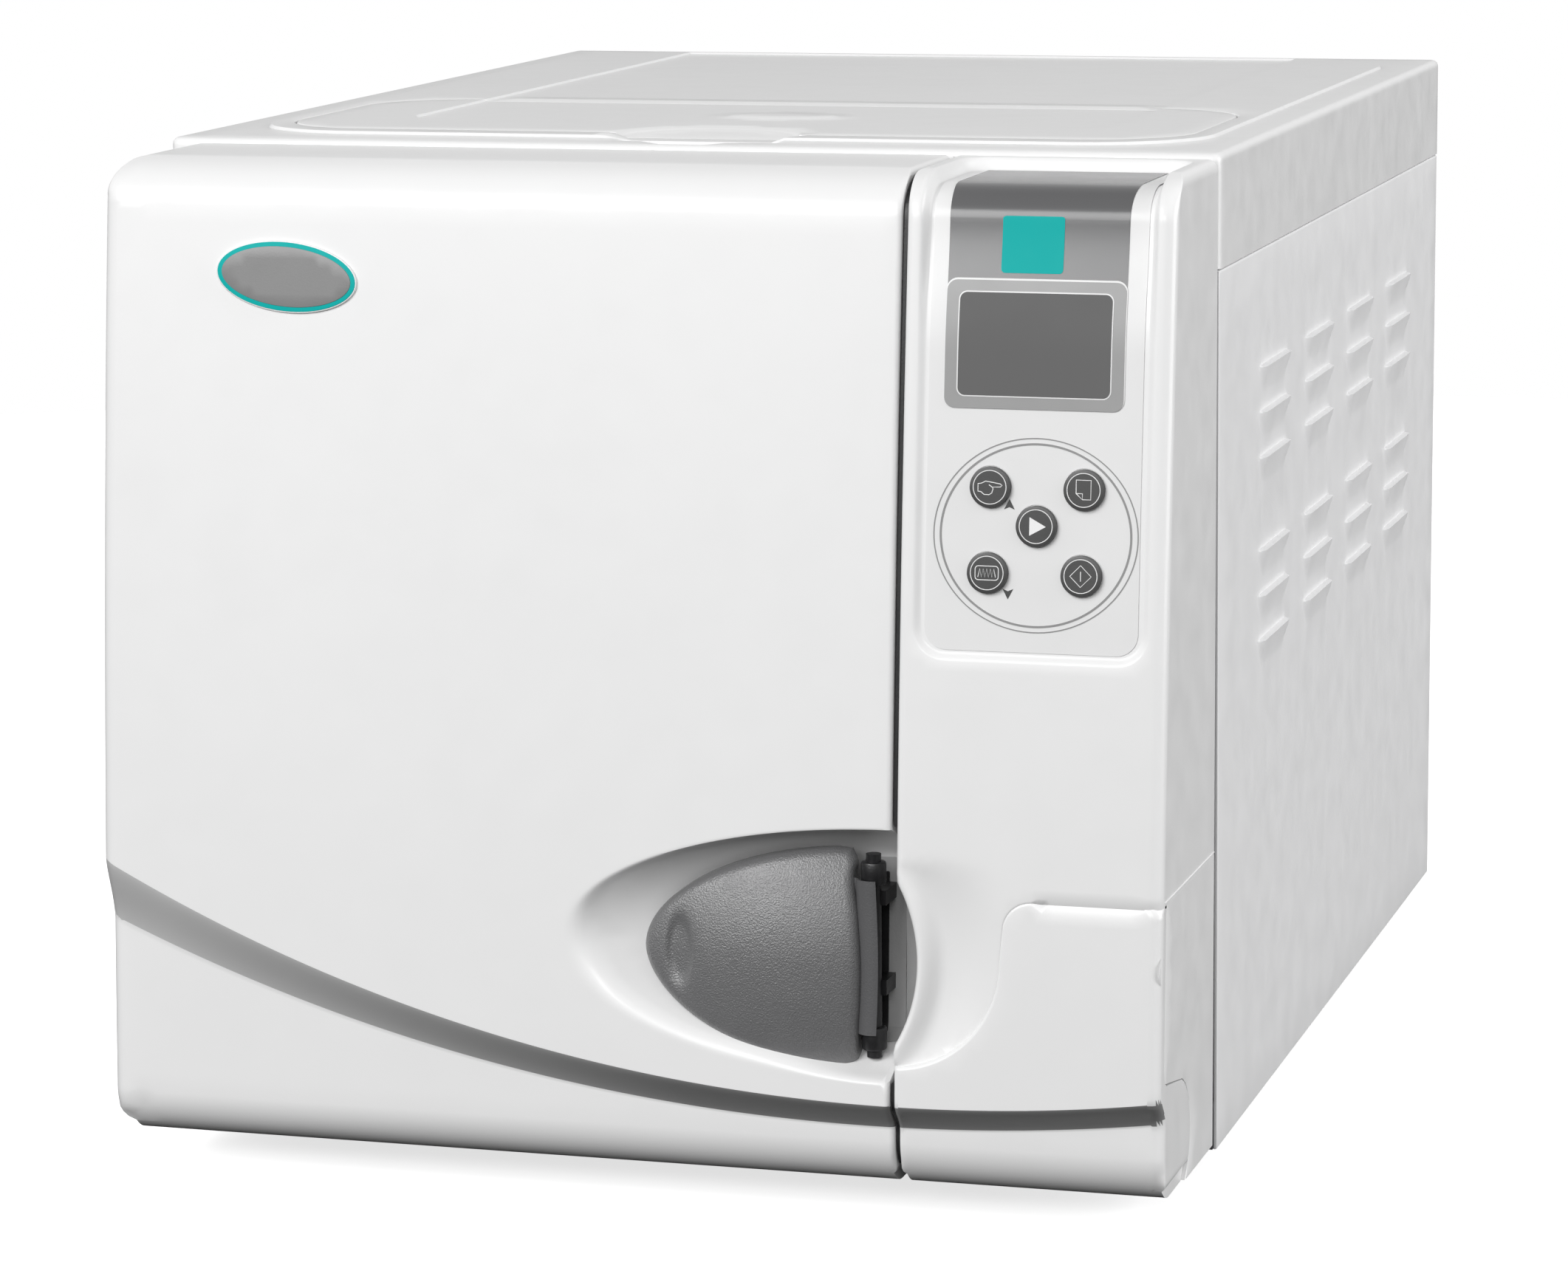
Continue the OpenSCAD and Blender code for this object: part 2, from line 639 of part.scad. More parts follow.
// Electrical and rear fittings
module power_board() color("darkgreen") {
    block([-214, y_house + 60, 40], [-212.4, y_house + 300, 120]);
    for (y = [80, 150, 220])
        block([-212.4, y_house + y, 50], [-186, y_house + y + 44, 96]);
}
module power_inlet() color("black") {
    difference() {
        block([inlet_x - 13.8, y_back - 24, inlet_z - 10], [inlet_x + 13.8, y_back + 2, inlet_z + 10]);
        block([inlet_x - 12, y_back - 16, inlet_z - 8], [inlet_x + 12, y_back + 3, inlet_z + 8]);
    }
    difference() {
        block([inlet_x - 24, y_back + 0.1, inlet_z - 14], [inlet_x + 24, y_back + 2.5, inlet_z + 14]);
        block([inlet_x - 13.8, y_back - 1, inlet_z - 10], [inlet_x + 13.8, y_back + 4, inlet_z + 10]);
        for (s = [-1, 1])
            rod_y(inlet_x + s * 20, inlet_z, y_back - 1, y_back + 4, 1.8);
    }
    for (s = [-1, 0, 1])
        block([inlet_x + s * 7 - 1, y_back - 17, inlet_z - 3 + 3 * (1 - abs(s))],
            [inlet_x + s * 7 + 1, y_back - 2, inlet_z + 1 + 3 * (1 - abs(s))]);
    // Frame of the mains switch
    difference() {
        block([switch_x - 10.8, y_back - 18, inlet_z - 13.8],
            [switch_x + 10.8, y_back + 2.5, inlet_z + 13.8]);
        block([switch_x - 9, y_back - 14, inlet_z - 12], [switch_x + 9, y_back + 4, inlet_z + 12]);
    }
    for (s = [-1, 1])
        rod_x(switch_x + s * 6.6 - 2.6, switch_x + s * 6.6 + 2.6, y_back - 3, inlet_z, 1.5);
}
module mains_rocker() color("crimson") translate([switch_x, y_back - 3, inlet_z]) rotate([rocker_tilt, 0, 0])
    difference() {
        along_x(-6.5, 6.5)
            polygon([[-6, -6], [2, -11], [5.2, -10.6], [3.4, 0], [5.2, 10.6], [2, 11], [-6, 6]]);
        rod_x(-8, 8, 0, 0, 1.5 + run);
    }
module fuse_holders() color("black")
    for (z = [inlet_z + 32, inlet_z + 56]) {
        rod_y(inlet_x, z, y_back - 30, y_back + 0.1, 6);
        rod_y(inlet_x, z, y_back + 0.1, y_back + 8, 8);
    }
module safety_valve() color("goldenrod") difference() {
    union() {
        rod_y(valve_x, valve_z, y_back - 26, y_back + 4, 8);
        rod_y(valve_x, valve_z, y_back + 0.2, y_back + 5, 10);
        rod_y(valve_x, valve_z, y_back + 4, y_back + 11, 6.5);
    }
    rod_y(valve_x, valve_z, y_back - 10, y_back + 12, 1.5 + run);
}
module safety_valve_ring() color("silver") {
    rod_y(valve_x, valve_z, y_back - 6, y_rear - 4, 1.5);
    translate([valve_x, y_rear - 4, valve_z - 3]) rotate([0, 90, 0]) rotate_extrude($fn = 48)
        translate([3, 0]) circle(r = 1, $fn = 16);
}
module rear_ports() color("goldenrod")
    for (x = port_x)
        difference() {
            union() {
                rod_y(x, port_z, y_back - 12, y_back + 6, 7);
                rod_y(x, port_z, y_back + 0.2, y_back + 4, 11);
                rod_y(x, port_z, y_back + 6, y_rear, 5);
            }
            rod_y(x, port_z, y_back - 20, y_rear + 1, 3);
        }

// Pipes, each a run of straight lengths joined by block elbows
module pipe(pts) {
    for (i = [0 : len(pts) - 2])
        let (a = pts[i], b = pts[i + 1], d = b - a, l = norm(d))
            translate(a) rotate([0, acos(d[2] / l), atan2(d[1], d[0])]) cylinder(r = pipe_r, h = l);
    for (i = [1 : len(pts) - 2])
        translate(pts[i]) cube(elbow_w, center = true);
}
module pipework() color("peru") {
    // Steam line over the generator to the back of the chamber
    pipe([[160, y_house + 350, 184.5], [160, y_house + 350, 200],
        [160, y_house + 490, 200], [chamber_x, y_house + 490, 200], [chamber_x, y_house + 478, 200]]);
    // Exhaust line from the condenser to the rear port
    pipe([[111.5, y_house + 450, 262], [103, y_house + 450, 262], [103, y_house + 500, 262],
        [103, y_house + 500, 40], [port_x[1], y_house + 500, 40], [port_x[1], y_house + 500, port_z],
        [port_x[1], y_back - 12.5, port_z]]);
}

// Tank lid
module tank_lid() color("whitesmoke") {
    difference() {
        translate([0, 0, z_top - lid_t]) linear_extrude(lid_t) lid_plan(0);
        // Finger recess
        rod_z(0, lid_y0 - 4, z_top - 10, z_top + 5, 30);
        for (s = [-1, 1])
            block([s * lid_pin_x - 16, lid_axis_y - 4, z_top - 10],
                [s * lid_pin_x + 16, lid_y1 + 1, z_top + 5]);
    }
    // Hinge pins across the two notches
    for (s = [-1, 1])
        rod_x(s * lid_pin_x - 17, s * lid_pin_x + 17, lid_axis_y, lid_axis_z, lid_pin_r);
    // Recessed finger grip under the notch
    difference() {
        intersection() {
            rod_z(0, lid_y0 - 4, z_top - lid_t - 4, z_top - lid_t, 33);
            block([-40, lid_y0, z_top - 10], [40, lid_y0 + 40, z_top]);
        }
        rod_z(0, lid_y0 - 4, z_top - lid_t - 2.5, z_top, 30);
    }
}

// Door
function door_outline(t) =
    rounded(door_left + t, door_right - t, door_z0 + t, door_z1 - t, corner_r - t, 4 - t / 2);
module pocket(grow, y1) along_y(y_front - 10, y1)
    polygon([for (a = [90 : 10 : 270])
        [door_right + 0.5 + (pocket_rx + grow) * cos(a), handle_z + (pocket_rz + grow) * sin(a)]]);
module door_form(t, back) intersection() {
    front_form(door_left + t, door_right - t, t, back);
    along_y(y_front - 5, back) polygon(door_outline(t));
}
module door_shell() color("whitesmoke") difference() {
    union() {
        difference() {
            door_form(0, door_back_y);
            door_form(shell_t, y_house + 5);
        }
        intersection() {
            door_form(0, door_back_y);
            pocket(shell_t, pocket_floor_y + shell_t);
        }
    }
    pocket(0, pocket_floor_y);
    rod_x(door_right - 10, door_right + 1, lock_y, lock_z, bolt_r + 0.6);
}
module door_liner() color("gainsboro") difference() {
    intersection() {
        door_form(shell_t + 0.2, door_back_y);
        block([door_left, door_back_y - 3, 0], [door_right, door_back_y, z_top]);
    }
    rod_y(chamber_x, chamber_z, y_front, y_house, flange_r + 1.5);
    for (z = [100, 340])
        block([door_left, door_back_y - 5, z - 16], [hinge_x + 22, door_back_y + 1, z + 16]);
}
module pressure_plate() color("silver") {
    difference() {
        rod_y(chamber_x, chamber_z, y_house - 16, y_house - 6, flange_r);
        rod_y(chamber_x, chamber_z, y_house - 9, y_house, 110);
    }
    rod_y(chamber_x, chamber_z, y_house - 30, y_house - 16, 24);
}
module door_gasket() color("gainsboro") difference() {
    rod_y(chamber_x, chamber_z, y_house - 6, seal_y, 139);
    rod_y(chamber_x, chamber_z, y_house - 10, y_house, 129);
}
module door_bridge() color("silver") difference() {
    union() {
        block([-190, bridge_y0, 197], [108, bridge_y1, 253]);
        block([92, bridge_y1, 168], [bridge_end, y_house - 18, 253]);
        block([92, bridge_y0, 168], [bridge_end, bridge_y1, 197]);
    }
    rod_y(chamber_x, chamber_z, bridge_y0 - 5, bridge_y1 + 5, 12 + run);
    rod_x(98, 120, lock_y, lock_z, bolt_r + 0.6);
}
module adjust_nut() color("goldenrod") {
    rod_y(chamber_x, chamber_z, y_house - 78, y_house - 30, 12);
    rod_y(chamber_x, chamber_z, bridge_y0 - 12, bridge_y0, 22);
    rod_y(chamber_x, chamber_z, bridge_y1, bridge_y1 + 8, 22);
}
module hinge_arms() color("dimgray") {
    for (z = hinge_zs)
        difference() {
            union() {
                rod_z(hinge_x, hinge_y, z + 12.3, z + 24, knuckle_r);
                block([hinge_x, hinge_y - 6, z + 12.3], [hinge_x + 10, hinge_y + 2, z + 24]);
                block([hinge_x + 8, hinge_y - 46, z + 12.3], [hinge_x + 14, hinge_y + 2, z + 24]);
            }
            rod_z(hinge_x, hinge_y, z, z + 30, pin_r + run);
        }
    difference() {
        block([hinge_x + 8, hinge_y - 46, 80], [hinge_x + 18, hinge_y - 30, 372]);
        block([hinge_x + 7, hinge_y - 47, 94], [hinge_x + 10, hinge_y - 29, 96]);
    }
}
module hinge_posts() color("dimgray") {
    for (z = hinge_zs) {
        rod_z(hinge_x, hinge_y, z, z + 12, knuckle_r);
        rod_z(hinge_x, hinge_y, z, z + 26, pin_r);
        block([hinge_x, hinge_y - 4, z], [hinge_x + 20, hinge_y + 2, z + 12]);
        block([hinge_x + 13, hinge_y - 4, z], [hinge_x + 20, y_house, z + 12]);
    }
}
module door_badge() color("slategray")
    translate([badge_x, face_y(badge_z) - 0.05, badge_z])
    rotate([90 - atan((badge_z - bow_z) / bow_r), 0, 0]) linear_extrude(1.4)
    polygon([for (a = [0 : 10 : 350]) [30 * cos(a), 14.2 * sin(a)]]);

// Handle, its bracket and the latch
module handle_bracket() color("dimgray") {
    rod_z(handle_x, handle_y, handle_z - 41, handle_z + 41, pin_r);
    for (z = [handle_z - 8, handle_z + 28.3])
        block([handle_x - 5, handle_y, z - 8], [handle_x + 5, pocket_floor_y, z - 2]);
    rod_z(handle_x - 1, pocket_floor_y - 14, handle_z - 18, handle_z + 18, pin_r);
}
module handle_lever() color("gray") difference() {
    union() {
        intersection() {
            along_y(y_front + 1, handle_y + 1)
                polygon([for (a = [90 : 7.5 : 270])
                    [leaf_x[1] + (leaf_x[1] - leaf_x[0]) * cos(a), handle_z + leaf_rz * sin(a)]]);
            rod_z(60, y_front + 151, handle_z - 50, handle_z + 50, 150);
        }
        for (z = [handle_z - 38, handle_z + 28.6]) {
            rod_z(handle_x, handle_y, z, z + 9.4, hub_r);
            block([leaf_x[1] - 4, handle_y - 4, z], [handle_x, handle_y + 4, z + 9.4]);
        }
    }
    rod_z(handle_x, handle_y, handle_z - 45, handle_z + 45, pin_r + run);
    translate([30, y_front - 16, handle_z]) rotate([0, 90, 0]) translate([0, 0, -6]) cylinder(r = 19, h = 12);
}
module latch_hook() color("dimgray") difference() {
    union() {
        rod_z(handle_x - 1, latch_y, handle_z - 10, handle_z + 10, hub_r);
        block([handle_x - 1, latch_y - 4, handle_z - 10], [120.6, latch_y + 4, handle_z + 10]);
    }
    rod_z(handle_x - 1, latch_y, handle_z - 20, handle_z + 20, pin_r + run);
}

base_tray();
feet();
top_cover();
left_side_panel();
right_side_panel();
rear_panel();
front_frame();
fascia_shell();
control_overlay();
display_module();
control_board();
chamber();
chamber_flange();
insulation_jacket();
band_heater();
tray_rack();
tray_lower();
tray_middle();
tray_upper();
steam_generator();
vacuum_pump();
water_pump();
valve_block();
condenser();
fan_housing();
fan_rotor();
clean_water_tank();
used_water_tank();
power_inlet();
fuse_holders();
mains_rocker();
safety_valve();
safety_valve_ring();
rear_ports();
bacteria_filter();
drain_couplings();
strike_plate();
lock_solenoid();
lock_bolt();
power_board();
hinge_posts();
pipework();
tank_lid();
door_shell();
door_liner();
pressure_plate();
door_gasket();
door_bridge();
adjust_nut();
hinge_arms();
door_badge();
handle_bracket();
handle_lever();
latch_hook();
service_flap();
key_step();
key_menu();
key_start();
key_dry();
key_ok();
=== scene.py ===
"""Benchtop steam steriliser: the looks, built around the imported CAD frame.

Lengths in this file are millimetres in the row frame, +X right, +Y back and +Z up; they turn into metres where a
mesh or curve is made.
"""

import math

import bmesh
import bpy
import numpy as np
from mathutils import Matrix, Vector
from mathutils.geometry import delaunay_2d_cdt
from mathutils.kdtree import KDTree


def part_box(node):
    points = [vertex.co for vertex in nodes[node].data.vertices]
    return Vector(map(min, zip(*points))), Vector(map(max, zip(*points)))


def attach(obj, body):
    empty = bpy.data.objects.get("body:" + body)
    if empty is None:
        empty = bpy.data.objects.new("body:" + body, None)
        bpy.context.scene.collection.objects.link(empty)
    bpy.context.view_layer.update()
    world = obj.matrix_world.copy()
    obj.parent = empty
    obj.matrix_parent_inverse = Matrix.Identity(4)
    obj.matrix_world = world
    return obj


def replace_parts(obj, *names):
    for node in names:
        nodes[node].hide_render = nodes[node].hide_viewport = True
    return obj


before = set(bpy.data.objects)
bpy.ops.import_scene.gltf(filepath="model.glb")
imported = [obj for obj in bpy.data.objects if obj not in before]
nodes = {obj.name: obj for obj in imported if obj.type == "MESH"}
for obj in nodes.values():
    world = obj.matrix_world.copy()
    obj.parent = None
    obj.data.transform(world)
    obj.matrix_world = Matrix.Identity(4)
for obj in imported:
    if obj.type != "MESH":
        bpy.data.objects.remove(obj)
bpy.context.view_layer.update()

MM = 0.001


def span(node):
    """Lowest and highest corner of a CAD node, in mm."""
    lo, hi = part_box(node)
    return np.array(lo) / MM, np.array(hi) / MM


def place_in_scene(name, data):
    obj = bpy.data.objects.new(name, data)
    bpy.context.scene.collection.objects.link(obj)
    return obj


# ---------------------------------------------------------------- camera
LENS = 122.0
CAM_AT = (0.6368, -2.2841, 0.6012)
YAW, PITCH, ROLL = (math.radians(a) for a in (16.118, 10.18, -0.497))


def make_camera():
    forward = Vector((-math.sin(YAW) * math.cos(PITCH), math.cos(YAW) * math.cos(PITCH), -math.sin(PITCH)))
    right = forward.cross(Vector((0, 0, 1))).normalized()
    up = right.cross(forward)
    side = right * math.cos(ROLL) + up * math.sin(ROLL)
    top = -right * math.sin(ROLL) + up * math.cos(ROLL)
    data = bpy.data.cameras.new("camera")
    data.lens = LENS
    data.sensor_width = 36
    data.clip_end = 100
    camera = place_in_scene("camera", data)
    turn = Matrix((side, top, -forward)).transposed().to_4x4()
    camera.matrix_world = Matrix.Translation(CAM_AT) @ turn
    bpy.context.scene.camera = camera


make_camera()

# ---------------------------------------------------------------- main planes, from the frame
door_lo, door_hi = span("door_shell")
fascia_lo, fascia_hi = span("fascia_shell")
cover_lo, cover_hi = span("top_cover")
panel_lo, panel_hi = span("right_side_panel")
lid_lo, lid_hi = span("tank_lid")

Y_FRONT = door_lo[1]
Y_HOUSE = cover_lo[1]
Y_BACK = cover_hi[1]
Z0, Z1 = door_lo[2], door_hi[2]
Z_TOP = cover_hi[2]
Z_SEAM = cover_lo[2]
HALF_W = cover_hi[0]
DOOR_LEFT, DOOR_RIGHT = door_lo[0], door_hi[0]
FASCIA_LEFT = fascia_lo[0]
BACK = Y_HOUSE - 5

# Front profile: a gentle bow, a rounded crown and foot, and a curved step along the foot
BOW_Z, BOW_R, STEP_LOW = -131, 4695, 53
STEP = 9
FOOT_R = 20
FOOT_V = Z0 + FOOT_R
CROWN_Y, CROWN_Z = 24, 17
CROWN_V = Z1 - CROWN_Z
CORNER_R = 13


def face_y(z):
    return Y_FRONT + ((z - BOW_Z) ** 2 - (STEP_LOW - BOW_Z) ** 2) / (2 * BOW_R)


CROWN_LEAN = 0.087
CROWN_RZ = CROWN_Z / (1 - math.sin(CROWN_LEAN))
CROWN_RY = CROWN_Y / math.cos(CROWN_LEAN)
CROWN_ARC = 20.5
CROWN_END = CROWN_V + CROWN_ARC * (math.pi / 2 - CROWN_LEAN)
FOOT_END = FOOT_V - FOOT_R * math.pi / 2


def front_profile(v):
    """y, z and inward normal of the front at v: height up the face, then length over the crown or under the foot."""
    v = np.asarray(v, float)
    mid = np.clip(v, FOOT_V, CROWN_V)
    slope = (mid - BOW_Z) / BOW_R
    y, z = face_y(mid), mid.copy()
    ny, nz = np.ones_like(v), -slope
    foot = v < FOOT_V
    a = np.clip((FOOT_V - v) / FOOT_R, 0, math.pi / 2)
    y = np.where(foot, face_y(FOOT_V) + (FOOT_R + STEP) * (1 - np.cos(a)), y)
    z = np.where(foot, FOOT_V - (FOOT_R + STEP) * np.sin(a), z)
    ny, nz = np.where(foot, np.cos(a), ny), np.where(foot, np.sin(a), nz)
    crown = v > CROWN_V
    a = CROWN_LEAN + np.clip((v - CROWN_V) / CROWN_ARC, 0, math.pi / 2 - CROWN_LEAN)
    y_crown = face_y(CROWN_V) + CROWN_RY * (math.cos(CROWN_LEAN) - np.cos(a))
    z_crown = CROWN_V + CROWN_RZ * (np.sin(a) - math.sin(CROWN_LEAN))
    y = np.where(crown, y_crown + np.clip(v - CROWN_END, 0, None), y)
    z = np.where(crown, z_crown, z)
    ny = np.where(crown, np.cos(a) / CROWN_RY, ny)
    nz = np.where(crown, -np.sin(a) / CROWN_RZ, nz)
    size = np.hypot(ny, nz)
    return y, z, ny / size, nz / size


TOP_V = float(CROWN_END + (BACK - front_profile(CROWN_END)[0]))


def on_front(points, depth):
    """Points (x, v) of the front, sunk by depth along the inward normal."""
    y, z, ny, nz = front_profile(points[:, 1])
    return np.column_stack([points[:, 0], y + ny * depth, z + nz * depth])


# ---------------------------------------------------------------- outline helpers
def arc(cx, cy, r, start, end, count=9, ry=None):
    a = np.radians(np.linspace(start, end, count))
    return np.column_stack([cx + r * np.cos(a), cy + (ry or r) * np.sin(a)])


def ellipse(cx, cy, rx, ry, count=72):
    return arc(cx, cy, rx, 0, 360 * (1 - 1 / count), count, ry)


def round_box(x0, x1, y0, y1, r, count=7):
    return np.vstack([arc(x0 + r, y0 + r, r, 180, 270, count), arc(x1 - r, y0 + r, r, 270, 360, count),
                      arc(x1 - r, y1 - r, r, 0, 90, count), arc(x0 + r, y1 - r, r, 90, 180, count)])


def resample(line, step, closed=True):
    """The same line with no stretch longer than step."""
    line = np.asarray(line, float)
    ends = np.roll(line, -1, 0) if closed else line[1:]
    out = []
    for a, b in zip(line, ends):
        n = max(1, math.ceil(np.linalg.norm(b - a) / step))
        out += [a + (b - a) * k / n for k in range(n)]
    return np.array(out if closed else out + [line[-1]])


def inset(loop, d):
    """A closed counter-clockwise loop moved inwards by d (outwards where d is negative)."""
    before, after = np.roll(loop, 1, 0), np.roll(loop, -1, 0)
    e0, e1 = loop - before, after - loop
    n0 = np.column_stack([-e0[:, 1], e0[:, 0]]) / (np.linalg.norm(e0, axis=1)[:, None] + 1e-9)
    n1 = np.column_stack([-e1[:, 1], e1[:, 0]]) / (np.linalg.norm(e1, axis=1)[:, None] + 1e-9)
    n = n0 + n1
    return loop + d * n / np.clip((n * n).sum(1) / 2, 0.3, None)[:, None]


def insets_of(loop, offsets):
    return [inset(loop, d) for d in offsets]


def distance(points, line, closed=True):
    """Distance of each point to a polyline."""
    a = np.asarray(line, float)
    b = np.roll(a, -1, 0) if closed else a[1:]
    a = a if closed else a[:-1]
    best = np.full(len(points), 1e9)
    for p, q in zip(a, b):
        d = q - p
        t = np.clip(((points - p) @ d) / (d @ d + 1e-12), 0, 1)
        best = np.minimum(best, np.hypot(*(points - p - t[:, None] * d).T))
    return best


def inside(points, loop):
    x, y = points.T
    hit = np.zeros(len(points), bool)
    for (x0, y0), (x1, y1) in zip(loop, np.roll(loop, -1, 0)):
        if y0 != y1:
            hit ^= ((y0 > y) != (y1 > y)) & (x < x0 + (y - y0) * (x1 - x0) / (y1 - y0))
    return hit


def clipped(lines, outline):
    """The parts of the lines that lie inside the outline."""
    lines = [line[inside(line, outline)] for line in lines]
    return [line for line in lines if len(line) > 1]


def smooth(t):
    t = np.clip(t, 0, 1)
    return t * t * (3 - 2 * t)


def rounded_edge(d, r):
    """How far a surface sinks at distance d from an edge rounded to radius r."""
    return r - np.sqrt(np.clip(r * r - np.clip(r - d, 0, r) ** 2, 0, None))


def round_off(p, *edges):
    """The sum of rounded_edge over open edges, each given as (line, radius)."""
    return sum(rounded_edge(distance(p, line, False), r) for line, r in edges)


# ---------------------------------------------------------------- mesh helpers
def make_object(name, verts, faces, material, body, sharp=35):
    mesh = bpy.data.meshes.new(name)
    mesh.from_pydata([tuple(c) for c in np.asarray(verts, float) * MM], [], [tuple(f) for f in faces])
    bm = bmesh.new()
    bm.from_mesh(mesh)
    bmesh.ops.remove_doubles(bm, verts=bm.verts, dist=1e-6)
    bmesh.ops.dissolve_degenerate(bm, edges=bm.edges, dist=1e-6)
    bm.to_mesh(mesh)
    bm.free()
    mesh.shade_smooth()
    mesh.set_sharp_from_angle(angle=math.radians(sharp))
    uses = np.zeros(len(mesh.edges), int)
    for loop in mesh.loops:
        uses[loop.edge_index] += 1
    for i in np.flatnonzero(uses == 1):
        mesh.edges[i].use_edge_sharp = True
    obj = place_in_scene(name, mesh)
    mesh.materials.append(material)
    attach(obj, body)
    return obj


def triangulate(outline, holes, rings, lines, step):
    """A fine triangle mesh of a flat outline that keeps the given rings and lines as edges."""
    loops = [outline, *holes, *rings]
    points, edges = [], []
    for loop in loops:
        start = len(points)
        points += list(loop)
        edges += [(start + i, start + (i + 1) % len(loop)) for i in range(len(loop))]
    for line in lines:
        start = len(points)
        points += list(line)
        edges += [(start + i, start + i + 1) for i in range(len(line) - 1)]
    tree = KDTree(len(points))
    for i, p in enumerate(points):
        tree.insert((p[0], p[1], 0), i)
    tree.balance()
    lo, hi = outline.min(0), outline.max(0)
    row = step * math.sqrt(3) / 2
    grid = np.array([(x + (k % 2) * step / 2, y) for k, y in enumerate(np.arange(lo[1] + row / 2, hi[1], row))
                     for x in np.arange(lo[0] + step / 4, hi[0], step)])
    keep = inside(grid, outline)
    for hole in holes:
        keep &= ~inside(grid, hole)
    points += [p for p in grid[keep] if tree.find((p[0], p[1], 0))[2] > 0.6 * step]
    flat, _, tris, *_ = delaunay_2d_cdt([Vector(p) for p in points], edges, [], 0, 1e-5)
    flat = np.array([tuple(p) for p in flat])
    tris = np.array(tris)
    centre = flat[tris].mean(1)
    keep = inside(centre, outline)
    for hole in holes:
        keep &= ~inside(centre, hole)
    a, b, c = (flat[tris[:, i]] for i in range(3))
    area = (b[:, 0] - a[:, 0]) * (c[:, 1] - a[:, 1]) - (b[:, 1] - a[:, 1]) * (c[:, 0] - a[:, 0])
    tris = np.where(area[:, None] < 0, tris[:, ::-1], tris)[keep & (np.abs(area) > 1e-7)]
    used, tris = np.unique(tris, return_inverse=True)
    return flat[used], tris.reshape(-1, 3)


def skin(name, outline, place, material, body, holes=(), rings=(), lines=(), step=7, wall=None,
         cap=False, thick=0, sharp=35, insets=(), edge_step=4):
    """A surface over a flat outline. place() puts flat points in space. wall() moves boundary points to the back,
    cap closes that back, and thick gives the sheet a thickness inwards instead."""
    outline = resample(outline, edge_step)
    holes = [resample(h, edge_step) for h in holes]
    rings = [resample(r, edge_step) for r in rings] + insets_of(outline, insets)
    rings += [inset(h, -d) for h in holes for d in insets]
    lines = [resample(line, edge_step, False) for line in lines]
    flat, tris = triangulate(outline, holes, rings, lines, step)
    verts = place(flat)
    faces = [tuple(t) for t in tris]
    if wall:
        count = {}
        for a, b, c in faces:
            for e in ((a, b), (b, c), (c, a)):
                count[e] = count.get(e, 0) + 1
        rim = [e for e in count if (e[1], e[0]) not in count]
        used = sorted({i for e in rim for i in e})
        if cap:
            used = list(range(len(verts)))
        behind = {v: len(verts) + k for k, v in enumerate(used)}
        if cap:
            faces += [tuple(behind[i] for i in reversed(t)) for t in faces[:]]
        back = wall(verts[used])
        edge = sorted({i for e in rim for i in e})
        near = {v: len(verts) + len(used) + k for k, v in enumerate(edge)}
        faces += [(b, a, near[a], near[b]) for a, b in rim] + [(near[b], near[a], behind[a], behind[b]) for a, b in rim]
        run = wall(verts[edge]) - verts[edge]
        reach = np.clip(0.8 / (np.linalg.norm(run, axis=1) + 1e-9), 0, 0.5)[:, None]
        verts = np.vstack([verts, back, verts[edge] + run * reach])
    obj = make_object(name, verts, faces, material, body, sharp)
    if thick:
        m = obj.modifiers.new("sheet", "SOLIDIFY")
        m.thickness = thick * MM
        m.offset = -1
    return obj


def moved_to(axis, value):
    """A wall that ends on the plane where the given axis has one value."""
    def move(v):
        out = v.copy()
        out[:, axis] = value
        return out
    return move


def back_to(y):
    return moved_to(1, y)


def back_by(depth):
    return lambda v: v + (0, depth, 0)


def level_at(z):
    """Flat points laid out in the horizontal plane at z."""
    return lambda p: np.column_stack([p, np.full(len(p), z)])


def lathe(name, profile, at, axis, material, body, count=48, sharp=30):
    """A turned piece: profile is (radius, height) from one end to the other, turned about axis through at."""
    turn = Vector(axis).to_track_quat("Z", "Y").to_matrix()
    verts, faces = [], []
    for r, h in profile:
        for k in range(count):
            a = 2 * math.pi * k / count
            verts.append(tuple(Vector(at) + turn @ Vector((r * math.cos(a), r * math.sin(a), h))))
    for i in range(len(profile) - 1):
        for k in range(count):
            n = (k + 1) % count
            faces.append((i * count + k, i * count + n, (i + 1) * count + n, (i + 1) * count + k))
    faces.append(tuple(reversed(range(count))))
    faces.append(tuple(range((len(profile) - 1) * count, len(profile) * count)))
    return make_object(name, verts, faces, material, body, sharp)


def drill(name, x0, x1, y, z, r):
    """Cut a round hole, parallel to X, through a finished piece."""
    obj = bpy.data.objects[name]
    bm = bmesh.new()
    bmesh.ops.create_cone(bm, cap_ends=True, segments=32, radius1=r * MM, radius2=r * MM, depth=(x1 - x0) * MM)
    bmesh.ops.rotate(bm, verts=bm.verts, matrix=Matrix.Rotation(math.pi / 2, 3, "Y"))
    bmesh.ops.translate(bm, verts=bm.verts, vec=Vector(((x0 + x1) / 2, y, z)) * MM)
    mesh = bpy.data.meshes.new("cutter")
    bm.to_mesh(mesh)
    bm.free()
    cutter = place_in_scene("cutter", mesh)
    hole = obj.modifiers.new("hole", "BOOLEAN")
    hole.object = cutter
    hole.solver = "EXACT"
    view = bpy.context.evaluated_depsgraph_get()
    cut = bpy.data.meshes.new_from_object(obj.evaluated_get(view))
    obj.modifiers.clear()
    obj.data = cut
    bpy.data.objects.remove(cutter)
    bpy.data.meshes.remove(mesh)


